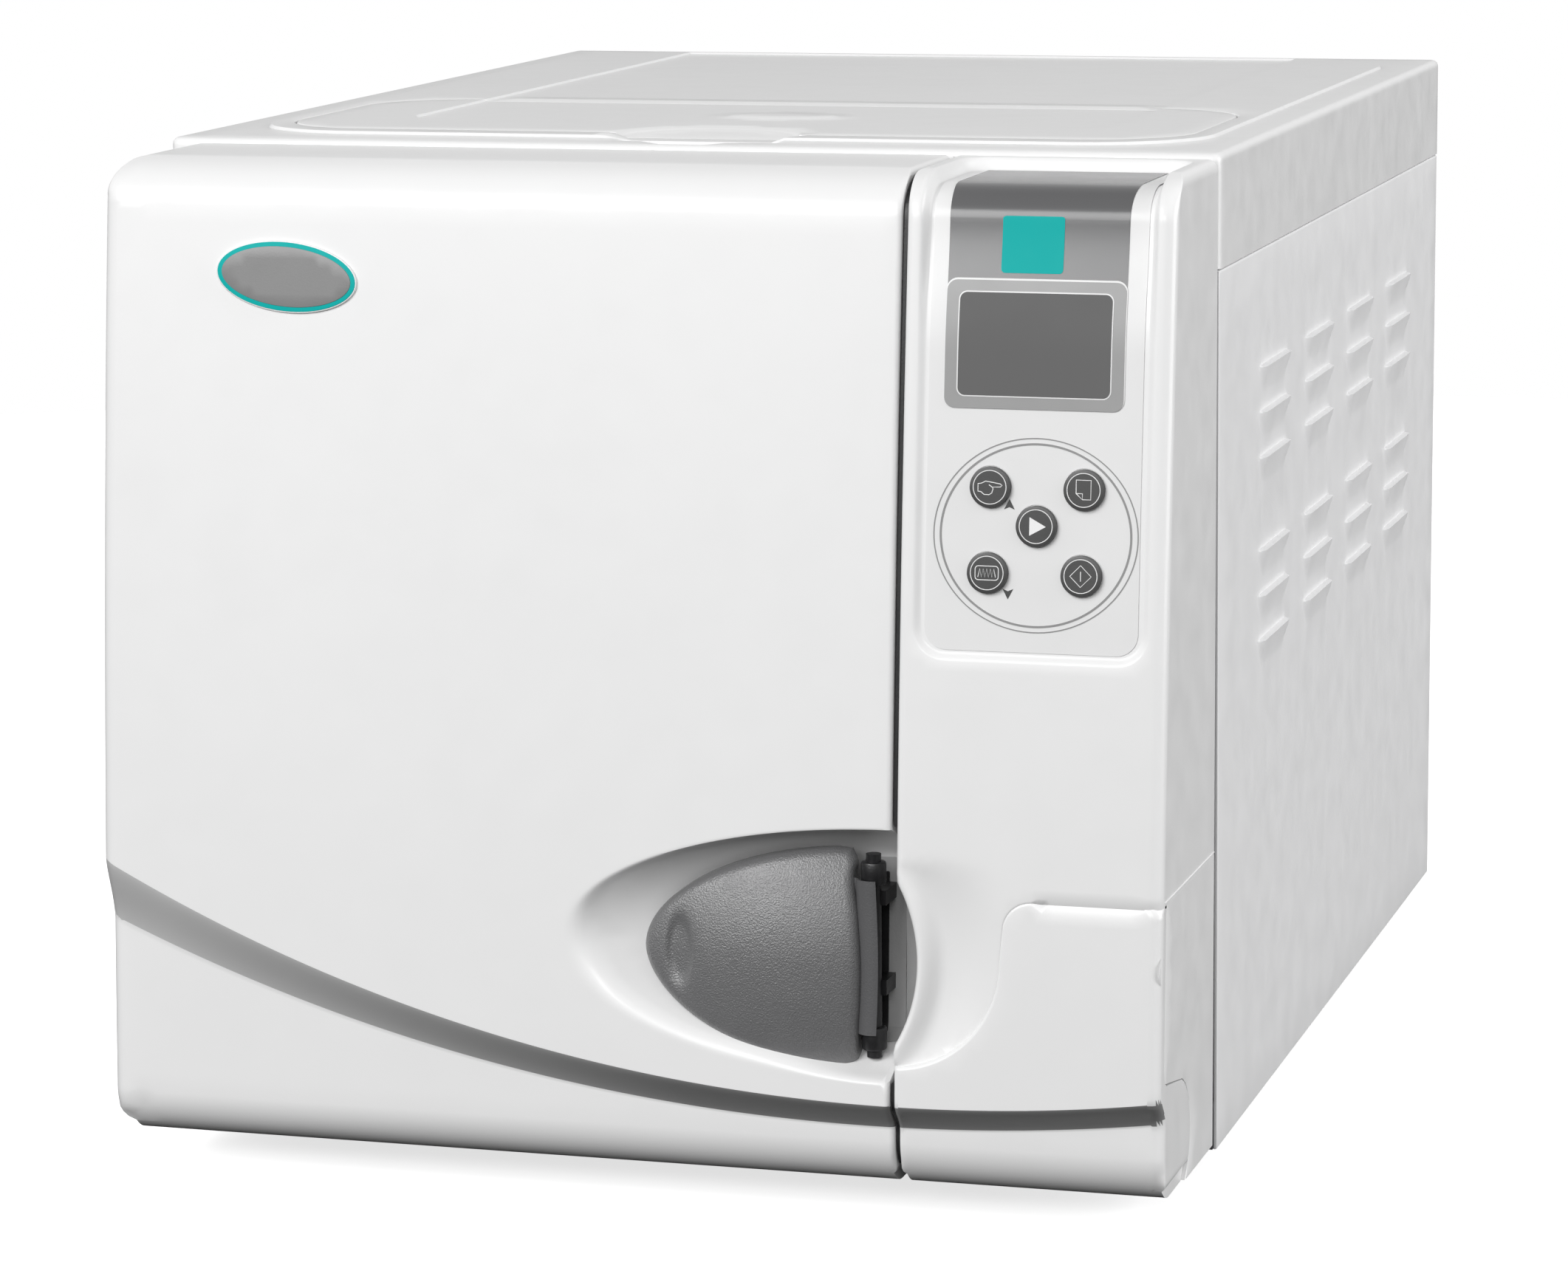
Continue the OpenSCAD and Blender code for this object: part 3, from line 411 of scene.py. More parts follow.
def strokes(name, paths, place, radius, material, body):
    """Thin raised lines: each path is (points, closed), laid out by place()."""
    curve = bpy.data.curves.new(name, "CURVE")
    curve.dimensions = "3D"
    curve.bevel_depth = radius * MM
    curve.bevel_resolution = 2
    for points, closed in paths:
        line = place(np.asarray(points, float)) * MM
        spline = curve.splines.new("POLY")
        spline.points.add(len(line) - 1)
        for p, co in zip(spline.points, line):
            p.co = (*co, 1)
        spline.use_cyclic_u = closed
    curve.materials.append(material)
    obj = place_in_scene(name, curve)
    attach(obj, body)
    return obj


# ---------------------------------------------------------------- materials
def nodes_of(name):
    material = bpy.data.materials.new(name)
    material.use_nodes = True
    tree = material.node_tree
    return material, tree, tree.nodes["Principled BSDF"]


def add(tree, kind, **values):
    node = tree.nodes.new(kind)
    for key, value in values.items():
        if hasattr(node, key):
            setattr(node, key, value)
        else:
            node.inputs[key.replace("_", " ")].default_value = value
    return node


def noise(tree, scale, detail=3, rough=0.5, stretch=(1, 1, 1)):
    coord = add(tree, "ShaderNodeTexCoord")
    mapping = add(tree, "ShaderNodeMapping")
    mapping.inputs["Scale"].default_value = stretch
    tree.links.new(coord.outputs["Object"], mapping.inputs["Vector"])
    tex = add(tree, "ShaderNodeTexNoise", Scale=scale, Detail=detail, Roughness=rough)
    tree.links.new(mapping.outputs["Vector"], tex.inputs["Vector"])
    return tex.outputs["Fac"]


def ramp(tree, source, low, high, at=(0.3, 0.7)):
    node = add(tree, "ShaderNodeValToRGB")
    node.color_ramp.elements[0].position, node.color_ramp.elements[1].position = at
    node.color_ramp.elements[0].color = (*low, 1)
    node.color_ramp.elements[1].color = (*high, 1)
    tree.links.new(source, node.inputs["Fac"])
    return node.outputs["Color"]


def finish_material(name, colour, rough, spread=0.03, grain=900, bump=0.05, metallic=0.0, patch=9, coat=0.0,
                    stretch=(1, 1, 1), rough_spread=0.06, depth=0.0004, specular=0.5):
    """Procedural finish: slow colour drift, roughness drift and a fine surface grain. A lone number is a grey."""
    material, tree, shader = nodes_of(name)
    colour = np.ones(3) * colour
    drift = noise(tree, patch, 4)
    tree.links.new(ramp(tree, drift, colour * (1 - spread), np.clip(colour * (1 + spread), 0, 1)),
                   shader.inputs["Base Color"])
    wear = noise(tree, patch * 6, 5, 0.6, stretch)
    low, high = max(rough - rough_spread, 0.02), rough + rough_spread
    tree.links.new(ramp(tree, wear, (low,) * 3, (high,) * 3), shader.inputs["Roughness"])
    fine = noise(tree, grain, 2, 0.5, stretch)
    bumper = add(tree, "ShaderNodeBump", Strength=bump, Distance=depth)
    tree.links.new(fine, bumper.inputs["Height"])
    tree.links.new(bumper.outputs["Normal"], shader.inputs["Normal"])
    shader.inputs["Metallic"].default_value = metallic
    shader.inputs["Coat Weight"].default_value = coat
    shader.inputs["Coat Roughness"].default_value = 0.12
    shader.inputs["Specular IOR Level"].default_value = specular
    return material


# Painted shade: a mid grey for the white hollow beside the handle, standing for the shade in it.
WELL_SHADE = finish_material("well_painted_shade", 0.36, 0.5, 0.05, 1200, 0.2)
WHITE = finish_material("moulded_white", 0.83, 0.34, 0.008, 700, 0.035, coat=0.15)
PANEL = finish_material("painted_panel", (0.82, 0.82, 0.825), 0.42, 0.01, 1400, 0.10, depth=0.0003)
HANDLE = finish_material("textured_grey", (0.145, 0.145, 0.148), 0.34, 0.05, 1500, 0.6, depth=0.0005, specular=1.0)
FILM = finish_material("film_light", 0.78, 0.38, 0.01, 1800, 0.06, depth=0.0002)
BEZEL = finish_material("print_mid_grey", 0.325, 0.36, 0.02, 1800, 0.05, depth=0.0002)
WINDOW = finish_material("display_window", 0.14, 0.5, 0.03, 600, 0.02, depth=0.0001, specular=0.1)
DARK_PANEL = finish_material("metallic_grey_print", (0.125, 0.125, 0.128), 0.24, 0.03, 1800, 0.05,
                             rough_spread=0.01, depth=0.0002, specular=0.6)
LINE = finish_material("print_line_grey", 0.28, 0.4, 0.02, 1800, 0.03)
LIGHT_LINE = finish_material("print_line_light", 0.80, 0.4, 0.01, 1800, 0.03)
KEY = finish_material("key_dark", 0.062, 0.38, 0.06, 1800, 0.12, depth=0.0002)
INK = finish_material("print_white", 0.86, 0.4, 0.01, 1800, 0.03)
TEAL = finish_material("teal_enamel", (0.004, 0.42, 0.40), 0.5, 0.02, 1500, 0.03, specular=0.12)
BADGE = finish_material("badge_grey", 0.225, 0.34, 0.03, 1500, 0.06)
BLACK = finish_material("black_plastic", (0.013, 0.013, 0.014), 0.38, 0.1, 1300, 0.15)
DARK = finish_material("frame_paint", (0.05, 0.05, 0.053), 0.5, 0.1, 1200, 0.3)
STEEL = finish_material("polished_steel", (0.62, 0.62, 0.61), 0.2, 0.04, 260, 0.08, metallic=1.0,
                        stretch=(1, 0.05, 1))
ZINC = finish_material("zinc_steel", (0.52, 0.53, 0.54), 0.36, 0.12, 240, 0.12, metallic=1.0, patch=26)
JACKET = finish_material("glass_wool_jacket", (0.62, 0.56, 0.36), 0.85, 0.18, 320, 0.9, depth=0.0015)
HEATER = finish_material("mica_band", (0.46, 0.23, 0.11), 0.55, 0.16, 300, 0.25, metallic=0.4)
PUMP_BLUE = finish_material("pump_blue", (0.06, 0.16, 0.34), 0.42, 0.07, 800, 0.2)
BRASS = finish_material("brass", (0.66, 0.45, 0.16), 0.27, 0.08, 500, 0.08, metallic=1.0)
COPPER = finish_material("copper_pipe", (0.63, 0.29, 0.17), 0.3, 0.14, 420, 0.08, metallic=1.0, patch=30)
FINS = finish_material("aluminium_fins", (0.7, 0.71, 0.72), 0.34, 0.05, 600, 0.1, metallic=1.0)
TANK = finish_material("tank_natural", (0.74, 0.75, 0.74), 0.46, 0.02, 500, 0.12)
RED = finish_material("rocker_red", (0.52, 0.02, 0.016), 0.3, 0.05, 900, 0.05)
RUBBER = finish_material("rubber_black", 0.016, 0.75, 0.2, 800, 0.4)
SILICONE = finish_material("silicone_seal", (0.60, 0.58, 0.54), 0.5, 0.05, 600, 0.12)
FILTER = finish_material("filter_white", (0.80, 0.81, 0.82), 0.32, 0.02, 700, 0.04, coat=0.3)
BOARD = finish_material("board_green", (0.02, 0.13, 0.05), 0.35, 0.12, 400, 0.3, patch=60)

# ---------------------------------------------------------------- stage: floor, light
FLOOR_R = 2.2
FLOOR_GLOW = 0.7


def make_stage():
    bm = bmesh.new()
    bmesh.ops.create_circle(bm, cap_ends=True, segments=96, radius=FLOOR_R)
    mesh = bpy.data.meshes.new("floor")
    bm.to_mesh(mesh)
    bm.free()
    floor = place_in_scene("floor", mesh)
    pale = finish_material("floor_pale", 0.95, 0.9, 0.002, 40, 0.02)
    glow = pale.node_tree.nodes["Principled BSDF"].inputs
    glow["Emission Color"].default_value = (1, 1, 1, 1)
    glow["Emission Strength"].default_value = FLOOR_GLOW
    mesh.materials.append(pale)
    floor.visible_diffuse = False
    floor.visible_glossy = False

    world = bpy.data.worlds.new("studio")
    bpy.context.scene.world = world
    world.use_nodes = True
    tree = world.node_tree
    coord = add(tree, "ShaderNodeTexCoord")
    axes = add(tree, "ShaderNodeSeparateXYZ")
    tree.links.new(coord.outputs["Generated"], axes.inputs[0])
    height = add(tree, "ShaderNodeMapRange")
    height.inputs["From Min"].default_value = -1
    tree.links.new(axes.outputs["Z"], height.inputs["Value"])
    shade = ramp(tree, height.outputs["Result"], (0.02,) * 3, (1.0,) * 3, (0.47, 0.64))
    zenith = shade.node.color_ramp.elements.new(0.95)
    zenith.color = (0.12, 0.12, 0.12, 1)
    seen = add(tree, "ShaderNodeMixRGB", Color2=(1, 1, 1, 1))
    tree.links.new(add(tree, "ShaderNodeLightPath").outputs["Is Camera Ray"], seen.inputs["Fac"])
    tree.links.new(shade, seen.inputs["Color1"])
    tree.links.new(seen.outputs["Color"], tree.nodes["Background"].inputs["Color"])

    def soft(name, at, aim, size, power, size_y=None):
        light = bpy.data.lights.new(name, "AREA")
        light.shape = "RECTANGLE"
        light.size, light.size_y = size, size_y or size
        light.energy = power
        obj = place_in_scene(name, light)
        obj.location = at
        obj.rotation_euler = (Vector(aim) - Vector(at)).to_track_quat("-Z", "Y").to_euler()

    soft("key", (-1.3, -3.1, 2.0), (0, 0, 0.2), 2.0, 86)
    soft("front", (0.5, -3.0, 1.25), (0, 0, 0.2), 1.0, 13, 0.4)
    soft("side", (3.0, 0.2, 0.9), (0.2, 0, 0.2), 2.0, 60)
    bpy.context.scene.view_settings.view_transform = "Standard"


make_stage()

# ---------------------------------------------------------------- the curved step along the foot
STEP_TOP = (115, 773, 720)
STEP_FOOT = (105, 859, 817)


def under_circle(x, circle):
    cx, cz, r = circle
    return cz - np.sqrt(r * r - (x - cx) ** 2)


def step_depth(x, v):
    top, foot = under_circle(x, STEP_TOP), under_circle(x, STEP_FOOT)
    t = np.clip((top - v) / (top - foot), 0, 1)
    return STEP * (0.35 * t + 0.65 * t ** 1.7 * (2.7 - 1.7 * t))


def step_lines(x0, x1):
    xs = np.linspace(x0, x1, 60)
    top, foot = under_circle(xs, STEP_TOP), under_circle(xs, STEP_FOOT)
    return [np.column_stack([xs, top + (foot - top) * t]) for t in (-0.02, 0, 0.08, 0.2, 0.4, 0.6, 0.8, 0.93, 1, 1.03)]


# Painted shade: the step's sloping face is coloured grey, darker towards the right, to stand for the shade it lies in.
BAND_SHADE = finish_material("step_painted_shade", 0.5, 0.4, 0.01, 700, 0.035)


def grade_along_x(material, low, high, x0, x1):
    """Multiply a finish by a grey that runs from low at x0 to high at x1."""
    tree = material.node_tree
    shader = tree.nodes["Principled BSDF"]
    axes = add(tree, "ShaderNodeSeparateXYZ")
    tree.links.new(add(tree, "ShaderNodeTexCoord").outputs["Object"], axes.inputs[0])
    along = add(tree, "ShaderNodeMapRange")
    along.inputs["From Min"].default_value, along.inputs["From Max"].default_value = x0, x1
    tree.links.new(axes.outputs["X"], along.inputs["Value"])
    mix = add(tree, "ShaderNodeMixRGB", Fac=1)
    mix.blend_type = "MULTIPLY"
    tree.links.new(shader.inputs["Base Color"].links[0].from_socket, mix.inputs["Color1"])
    tree.links.new(ramp(tree, along.outputs["Result"], (low,) * 3, (high,) * 3, (0, 1)), mix.inputs["Color2"])
    tree.links.new(mix.outputs["Color"], shader.inputs["Base Color"])


grade_along_x(BAND_SHADE, 1.0, 0.42, -0.19, 0.03)


def paint_step_shade(obj):
    """Give the sloping face of the step a painted shade: a grey that darkens towards the right."""
    obj.data.materials.append(BAND_SHADE)
    for face in obj.data.polygons:
        x, y, z = (c / MM for c in face.center)
        v = z - (z - BOW_Z) / BOW_R * step_depth(x, z)
        top, foot = under_circle(x, STEP_TOP), under_circle(x, STEP_FOOT)
        if 0 < (top - v) / (top - foot) < 0.985 and y < face_y(z) + STEP + 2:
            face.material_index = 1


def level(v, x0, x1):
    return np.array([[x0, v], [x1, v]])


def profile_lines(x0, x1):
    """Rows that follow the crown and the foot, so that both stay smooth."""
    foot = [FOOT_V - FOOT_R * math.radians(a) for a in range(0, 90, 9)]
    crown = [CROWN_V + CROWN_ARC * (math.pi / 2 - CROWN_LEAN) * k / 12 for k in range(13)]
    return [level(v, x0, x1) for v in foot + crown]


FOOT_CORNER = 0.6


def side_of_corner(v, x_edge, sign, r):
    """x of the left or right edge at v, where the top and bottom corners are rounded to r."""
    z = front_profile(v)[1]
    cut = np.zeros_like(z)
    foot_r = FOOT_CORNER * r
    for centre, up, round_r in ((Z1 - r, 1, r), (Z0 + foot_r, -1, foot_r)):
        d = np.clip((z - centre) * up, 0, round_r)
        cut = np.maximum(cut, round_r - np.sqrt(round_r ** 2 - d * d))
    return x_edge + sign * cut


def column(x_edge, sign, r, v0, v1, step=5):
    corner = [v for v in (*np.linspace(FOOT_END, FOOT_V + 4, 22), *np.linspace(CROWN_V - 4, CROWN_END, 24))]
    v = np.unique([v0, v1, *np.arange(v0, v1, step), *(c for c in corner if v0 < c < v1)])
    return np.column_stack([side_of_corner(v, x_edge, sign, r), v])


# ---------------------------------------------------------------- door
SCOOP_AT = (116, 112)
SCOOP_RX, SCOOP_RZ = 138, 51
SCOOP_DEPTH = 47
POCKET_DEPTH = 28


def scoop_depth(x, v):
    """The recess around the handle: a steep wall above, soft at its left end and below."""
    dx, dz = (x - SCOOP_AT[0]) / SCOOP_RX, (v - SCOOP_AT[1]) / SCOOP_RZ
    u2 = dx * dx + dz * dz
    lean = dz / np.sqrt(u2 + 1e-9)
    near = smooth((x - 55) / 50)
    power = 1.15 - 0.42 * np.clip(lean, 0, 1) + (0.5 - 0.75 * near) * np.clip(-lean, 0, 1)
    rim = smooth((1 - np.sqrt(u2)) / (0.04 + 0.17 * smooth((0.55 - lean) / 0.9) * (1 - 0.6 * near)))
    pocket = POCKET_DEPTH + (SCOOP_DEPTH - POCKET_DEPTH) * smooth((99 - x) / 10)
    return np.minimum(SCOOP_DEPTH * np.clip(1 - u2, 0, 1) ** power * rim, pocket)


def door_place(left, right):
    def place(p):
        x, v = p.T
        scoop = scoop_depth(x, v)
        z = front_profile(v)[1]
        fade = np.clip((Z1 - 1 - z) / CORNER_R, 0, 1) * np.clip((z - Z0) / (CORNER_R * FOOT_CORNER), 0, 1)
        by_seam = round_off(p, (right, 2.2)) * np.clip(1 - scoop / 6, 0, 1)
        return on_front(p, step_depth(x, v) + scoop + (round_off(p, (left, 7)) + by_seam) * fade)
    return place


def build_door():
    left = column(DOOR_LEFT, 1, CORNER_R, FOOT_END, TOP_V)
    right = column(DOOR_RIGHT, -1, 3, FOOT_END, TOP_V)
    outline = np.vstack([right, left[::-1]])
    rims = []
    for u in (1.01, 1.0, 0.992, 0.984, 0.976, 0.965, 0.95, 0.93, 0.9, 0.86, 0.81, 0.75, 0.68, 0.6, 0.5, 0.4, 0.3, 0.2):
        half = arc(SCOOP_AT[0], SCOOP_AT[1], SCOOP_RX * u, 90, 270, 90, SCOOP_RZ * u)
        rims.append(half[half[:, 0] < DOOR_RIGHT - 0.3])
    sides = [left + (d, 0) for d in (0.25, 1, 2.1, 3.6, 5.2, 7)] + [right - (d, 0) for d in (0.12, 0.45, 1, 1.7, 2.2)]
    skin("door_skin", outline, door_place(left, right), WHITE, "door", step=6,
         lines=[*rims, *step_lines(DOOR_LEFT + 1, DOOR_RIGHT - 0.2), *profile_lines(DOOR_LEFT + 20, DOOR_RIGHT - 4),
                *sides], wall=back_to(BACK), thick=2.4, sharp=38)


build_door()
paint_step_shade(bpy.data.objects["door_skin"])
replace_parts(bpy.data.objects["door_skin"], "door_shell")

# ---------------------------------------------------------------- fascia
film_lo, film_hi = span("control_overlay")
CHANNEL = (film_lo[0] - 2.6, film_hi[0] + 0.2)
CHANNEL_FOOT = film_lo[2] - 1.5
CHANNEL_R = 10
LEDGE_V = CROWN_END + 48
CRESCENT_AT, CRESCENT_R = (59.7, 110), 65.3
TONGUE_AT, TONGUE_R = (115, 112), 44
FLAP_TOP, FLAP_LEFT, FLAP_CORNER = 136.5, 160, 11


def channel_outline(grow=0.0):
    """The recess for the control film: round below, open over the crown up to a ledge."""
    x0, x1 = CHANNEL[0] - grow, CHANNEL[1] + grow
    return round_box(x0, x1, CHANNEL_FOOT - grow, LEDGE_V + grow, CHANNEL_R + grow, 9)


def channel_floor(v):
    return 1.7 + 3.8 * smooth((v - 350) / 50)


def channel_depth(p):
    loop = resample(channel_outline(), 4)
    d = distance(p, loop) * np.where(inside(p, loop), 1, -1)
    return channel_floor(p[:, 1]) * smooth((d + 2.6) / 3.4)


def tongue_edge(grow):
    """The S-shaped seam between fascia and flap, from the left edge to the right one."""
    r = TONGUE_R + grow
    start = -math.degrees(math.acos((FASCIA_LEFT - TONGUE_AT[0]) / r))
    tongue = arc(*TONGUE_AT, r, start, 0, 26)
    corner = arc(FLAP_LEFT + FLAP_CORNER, FLAP_TOP - FLAP_CORNER, FLAP_CORNER - grow, 180, 90, 9)
    corner[:, 0] = np.maximum(corner[:, 0], tongue[-1, 0])
    return np.vstack([tongue, corner, [[HALF_W, FLAP_TOP - grow]]])


def crescent_line():
    x = FASCIA_LEFT - CRESCENT_AT[0]
    a = math.degrees(math.acos(x / CRESCENT_R))
    return arc(*CRESCENT_AT, CRESCENT_R, -a, a, 30)


def dish_depth(p):
    """A shallow hollow beside the scoop, for the fingers."""
    d = np.hypot(p[:, 0] - CRESCENT_AT[0], p[:, 1] - CRESCENT_AT[1]) - CRESCENT_R
    tall = np.clip(1 - ((p[:, 1] - 104) / 46) ** 2, 0, 1)
    return 5.0 * smooth((d - 1.2) / 9) * (1 - smooth((d - 12) / 26)) * tall ** 0.8


def fascia_place(left, right, seam, crescent):
    def place(p):
        x, v = p.T
        z = front_profile(v)[1]
        fade = np.clip((Z1 - 0.8 - z) / 14, 0, 1)
        depth = step_depth(x, v) + channel_depth(p) + dish_depth(p) + round_off(p, (left, 3), (right, 5.5)) * fade
        return on_front(p, depth + round_off(p, (seam, 1.2), (crescent, 2.6)))
    return place


def shifted(line, d):
    """An open line moved sideways by d, to its left."""
    t = np.gradient(line, axis=0)
    t /= np.linalg.norm(t, axis=1)[:, None] + 1e-9
    return line + d * np.column_stack([-t[:, 1], t[:, 0]])


HINGE_Y, HINGE_Z, EAR_R = Y_HOUSE - 75, Z0 + FOOT_R, 25
SKIRT_GAP = 0.7


def flap_rear(z):
    """Back edge of the flap's side: a narrow skirt that widens to a round ear at the hinge."""
    ear = HINGE_Y + np.sqrt(np.clip(EAR_R ** 2 - (z - HINGE_Z) ** 2, 1, None))
    return ear + (face_y(z) + 9 - ear) * smooth((z - HINGE_Z - EAR_R + 1) / 6)


def build_fascia():
    seam, crescent = tongue_edge(0), crescent_line()
    right = column(HALF_W, -1, 4, FLAP_TOP, TOP_V)
    left = column(FASCIA_LEFT, 1, 2, crescent[-1, 1] + 1, TOP_V)
    outline = np.vstack([seam[:-1], right, left[::-1], crescent[::-1]])
    rings = [channel_outline(g) for g in (2.6, 2.0, 1.3, 0.6, 0, -0.5, -0.8)]
    lines = [right - (d, 0) for d in (0.2, 0.8, 1.8, 3.2, 4.5, 5.5)] + [left + (d, 0) for d in (0.15, 0.6, 1.3, 2.1, 3)]
    lines += [shifted(seam, d) for d in (0.1, 0.4, 0.8, 1.2)]
    lines += [shifted(crescent, -d) for d in (0.15, 0.6, 1.2, 1.9, 2.6)]
    lines += [arc(*CRESCENT_AT, CRESCENT_R + d, -36, 36, 30) for d in (4, 6, 8, 10, 12, 16, 20, 25, 31, 38)]
    lines = clipped(lines, outline)
    place = fascia_place(left, right, seam, crescent)
    skin("fascia_skin", outline, place, WHITE, "root", step=4, rings=rings,
         lines=[*lines, *profile_lines(FASCIA_LEFT + 4, HALF_W - 4)], wall=back_to(BACK), thick=2.4, sharp=38)

    # Wall of the hollow beside the handle, open where the latch passes
    wall_y = Y_FRONT + POCKET_DEPTH
    meet = DOOR_RIGHT + 0.4
    dip = np.vstack([crescent + (2.5, 0), [[meet, crescent[-1, 1] + 3], [meet, crescent[0, 1] - 3]]])
    # The wall is coloured with the painted-shade grey of the hollow.
    skin("scoop_wall", dip, lambda p: np.column_stack([p[:, 0], np.full(len(p), wall_y), p[:, 1]]), WELL_SHADE,
         "root", step=6, edge_step=2, wall=back_to(wall_y + 2.6))

    # Side of the fascia behind the flap's skirt
    zs = np.linspace(FLAP_TOP, Z0, 40)
    front = np.column_stack([flap_rear(zs) + SKIRT_GAP, zs])
    side = np.vstack([[[BACK, Z0], [BACK, FLAP_TOP + 0.4]], front + (0, 0.4)])

    def beside(p):
        edge = rounded_edge(distance(p, front, False), 0.8)
        return np.column_stack([HALF_W + 0.02 - edge, p[:, 0], p[:, 1]])

    skin("fascia_side", side, beside, WHITE, "root", step=9, cap=True,
         wall=moved_to(0, HALF_W - 3), lines=[front + (d, 0) for d in (0.2, 0.8)])


build_fascia()
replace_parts(bpy.data.objects["fascia_skin"], "fascia_shell")


def build_seam_shade_strip():
    """Black strip on the fascia's side, just below the surface of the seam beside the door: painted shade that darkens
    the gap.
    """
    for name, low, high in (("seam_trim_low", FOOT_V - 12, 62), ("seam_trim_top", 164, CROWN_END + 60)):
        rows = [level(v, FASCIA_LEFT - 1.5, FASCIA_LEFT) for v in np.arange(low + 3, high - 2, 4)]
        skin(name, round_box(FASCIA_LEFT - 1.4, FASCIA_LEFT - 0.1, low, high, 0.3, 2),
             lambda p: on_front(p, step_depth(*p.T) + 2.4), BLACK, "root", step=3, lines=rows,
             wall=back_by(9), cap=True)


build_seam_shade_strip()

# ---------------------------------------------------------------- service flap
def build_flap():
    seam = tongue_edge(-1)
    seam = seam[seam[:, 0] <= HALF_W]
    left = column(FASCIA_LEFT, 1, 3, FOOT_END, seam[0, 1])
    right = column(HALF_W, -1, 3, FOOT_END, seam[-1, 1])
    outline = np.vstack([right, seam[::-1][1:], left[::-1][1:]])
    notch_z, notch_y = 112, Y_HOUSE - 99

    def place(p):
        x, v = p.T
        z = front_profile(v)[1]
        low = np.clip((z - Z0) / 9, 0, 1)
        depth = step_depth(x, v) + round_off(p, (left, 1.8), (right, 4.5)) * low
        return on_front(p, depth + round_off(p, (seam, 1.6)))

    def skirt(v):
        out = v.copy()
        out[:, 1] = np.maximum(v[:, 1] + 3, np.where(v[:, 0] > HALF_W - 6, flap_rear(v[:, 2]), v[:, 1] + 8))
        return out

    lines = [right - (d, 0) for d in (0.2, 0.7, 1.5, 2.6, 3.6, 4.5)] + [left + (d, 0) for d in (0.1, 0.4, 0.9, 1.8)]
    lines += [shifted(seam, -d) for d in (0.1, 0.5, 1, 1.6)]
    lines += step_lines(FASCIA_LEFT + 2, HALF_W - 5) + profile_lines(FASCIA_LEFT + 3, HALF_W - 5)
    skin("flap_skin", outline, place, WHITE, "flap", step=5,
         lines=clipped(lines, outline), wall=skirt, thick=2.2, sharp=38)
    # Finger dimple in the side of the flap
    bowl = [(0.4, -1.9), (2.6, -1.7), (4.6, -1.1), (6.2, -0.4), (7.4, 0.05), (8.0, -0.1)]
    lathe("flap_dimple", bowl, (HALF_W - 0.35, notch_y, notch_z), (1, 0, 0), WHITE, "flap")


build_flap()
paint_step_shade(bpy.data.objects["flap_skin"])
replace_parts(bpy.data.objects["flap_skin"], "service_flap")

# ---------------------------------------------------------------- control film and print
def on_film(lift):
    def place(p):
        return on_front(p, channel_floor(p[:, 1]) - lift)
    return place


CROWN_ROWS = [CROWN_V + (CROWN_END - CROWN_V) * k / 16 for k in range(17)]
FILM_ROWS = [level(v, CHANNEL[0] - 4, CHANNEL[1] + 4) for v in (*np.arange(330, CROWN_V - 1, 4), *CROWN_ROWS)]


def printed(name, outline, lift, material, holes=()):
    return skin(name, outline, on_film(lift), material, "root", holes=holes, step=5, edge_step=2.5,
                lines=[r for r in FILM_ROWS if outline[:, 1].min() < r[0, 1] < outline[:, 1].max()],
                wall=back_by(0.12))


def ring_band(cx, cz, rx, rz, width):
    return ellipse(cx, cz, rx + width / 2, rz + width / 2, 120), ellipse(cx, cz, rx - width / 2, rz - width / 2, 120)


PRINT_MID = 168.05
BEZEL_BOX = (132.8, 203.4, 327.5, 376.6)
WINDOW_BOX = (138.1, 198.1, 332.5, 371.9)
RINGS_AT = (170, 279.3)


def build_controls():
    x0, x1 = CHANNEL[0] + 2.1, CHANNEL[1] - 2.2
    film = round_box(x0, x1, CHANNEL_FOOT + 1.6, LEDGE_V - 1.2, 8.6, 9)
    keys = [key_centre(n) for n in KEYS]
    holes = [ellipse(x, z, KEY_R + 0.3, KEY_R + 0.3, 48) for x, z in keys]
    skin("control_film", film, on_film(0.35), FILM, "root", holes=holes, step=4, edge_step=3,
         wall=back_by(0.4), lines=FILM_ROWS)
    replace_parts(bpy.data.objects["control_film"], "control_overlay")
    flare = [(132.6 - 0.8 * t * t, 402 + 22 * t) for t in np.linspace(0, 1, 8)]
    over = LEDGE_V - 1.8
    dark = np.vstack([[[132.8, 372], [203.5, 372]],
                      [(2 * PRINT_MID - x, v) for x, v in flare],
                      [[2 * PRINT_MID - flare[-1][0], over], [flare[-1][0], over]],
                      flare[::-1]])
    printed("dark_panel", dark, 0.5, DARK_PANEL)
    printed("bezel_edge", round_box(132.4, 203.8, 327.5, 377.3, 4.4), 0.66, LIGHT_LINE)
    printed("bezel", round_box(*BEZEL_BOX, 4), 0.8, BEZEL)
    printed("window_line", round_box(137.6, 198.6, 332, 372.4, 3.2), 0.94, LIGHT_LINE)
    glass = printed("display_glass", round_box(*WINDOW_BOX, 2.8), 1.1, WINDOW)
    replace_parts(glass, "display_module")
    for name, band in (("ring_outer", ring_band(*RINGS_AT, 40.3, 37.3, 0.45)),
                       ("ring_inner", ring_band(*RINGS_AT, 37.6, 35.1, 0.8))):
        printed(name, band[0], 0.5, LINE, holes=(band[1],))
    printed("plain_tile", round_box(153.6, 178, 379.4, 402, 1.6), 0.66, TEAL)
    for name, cz, up in (("arrow_up", 291, 1), ("arrow_down", 256.6, -1)):
        head = np.array([[159.5, cz + 2.1 * up], [157.4, cz - 1.9 * up], [159.5, cz - up], [161.6, cz - 1.9 * up]])
        printed(name, head[::up], 0.5, KEY)


KEYS = ("key_step", "key_menu", "key_start", "key_dry", "key_ok")
KEY_R = 8
KEY_PROUD = 0.8


def key_centre(node):
    lo, hi = span(node)
    lip = 1.5
    return (lo[0] + hi[0]) / 2, lo[2] + KEY_R + lip + 0.5


build_controls()


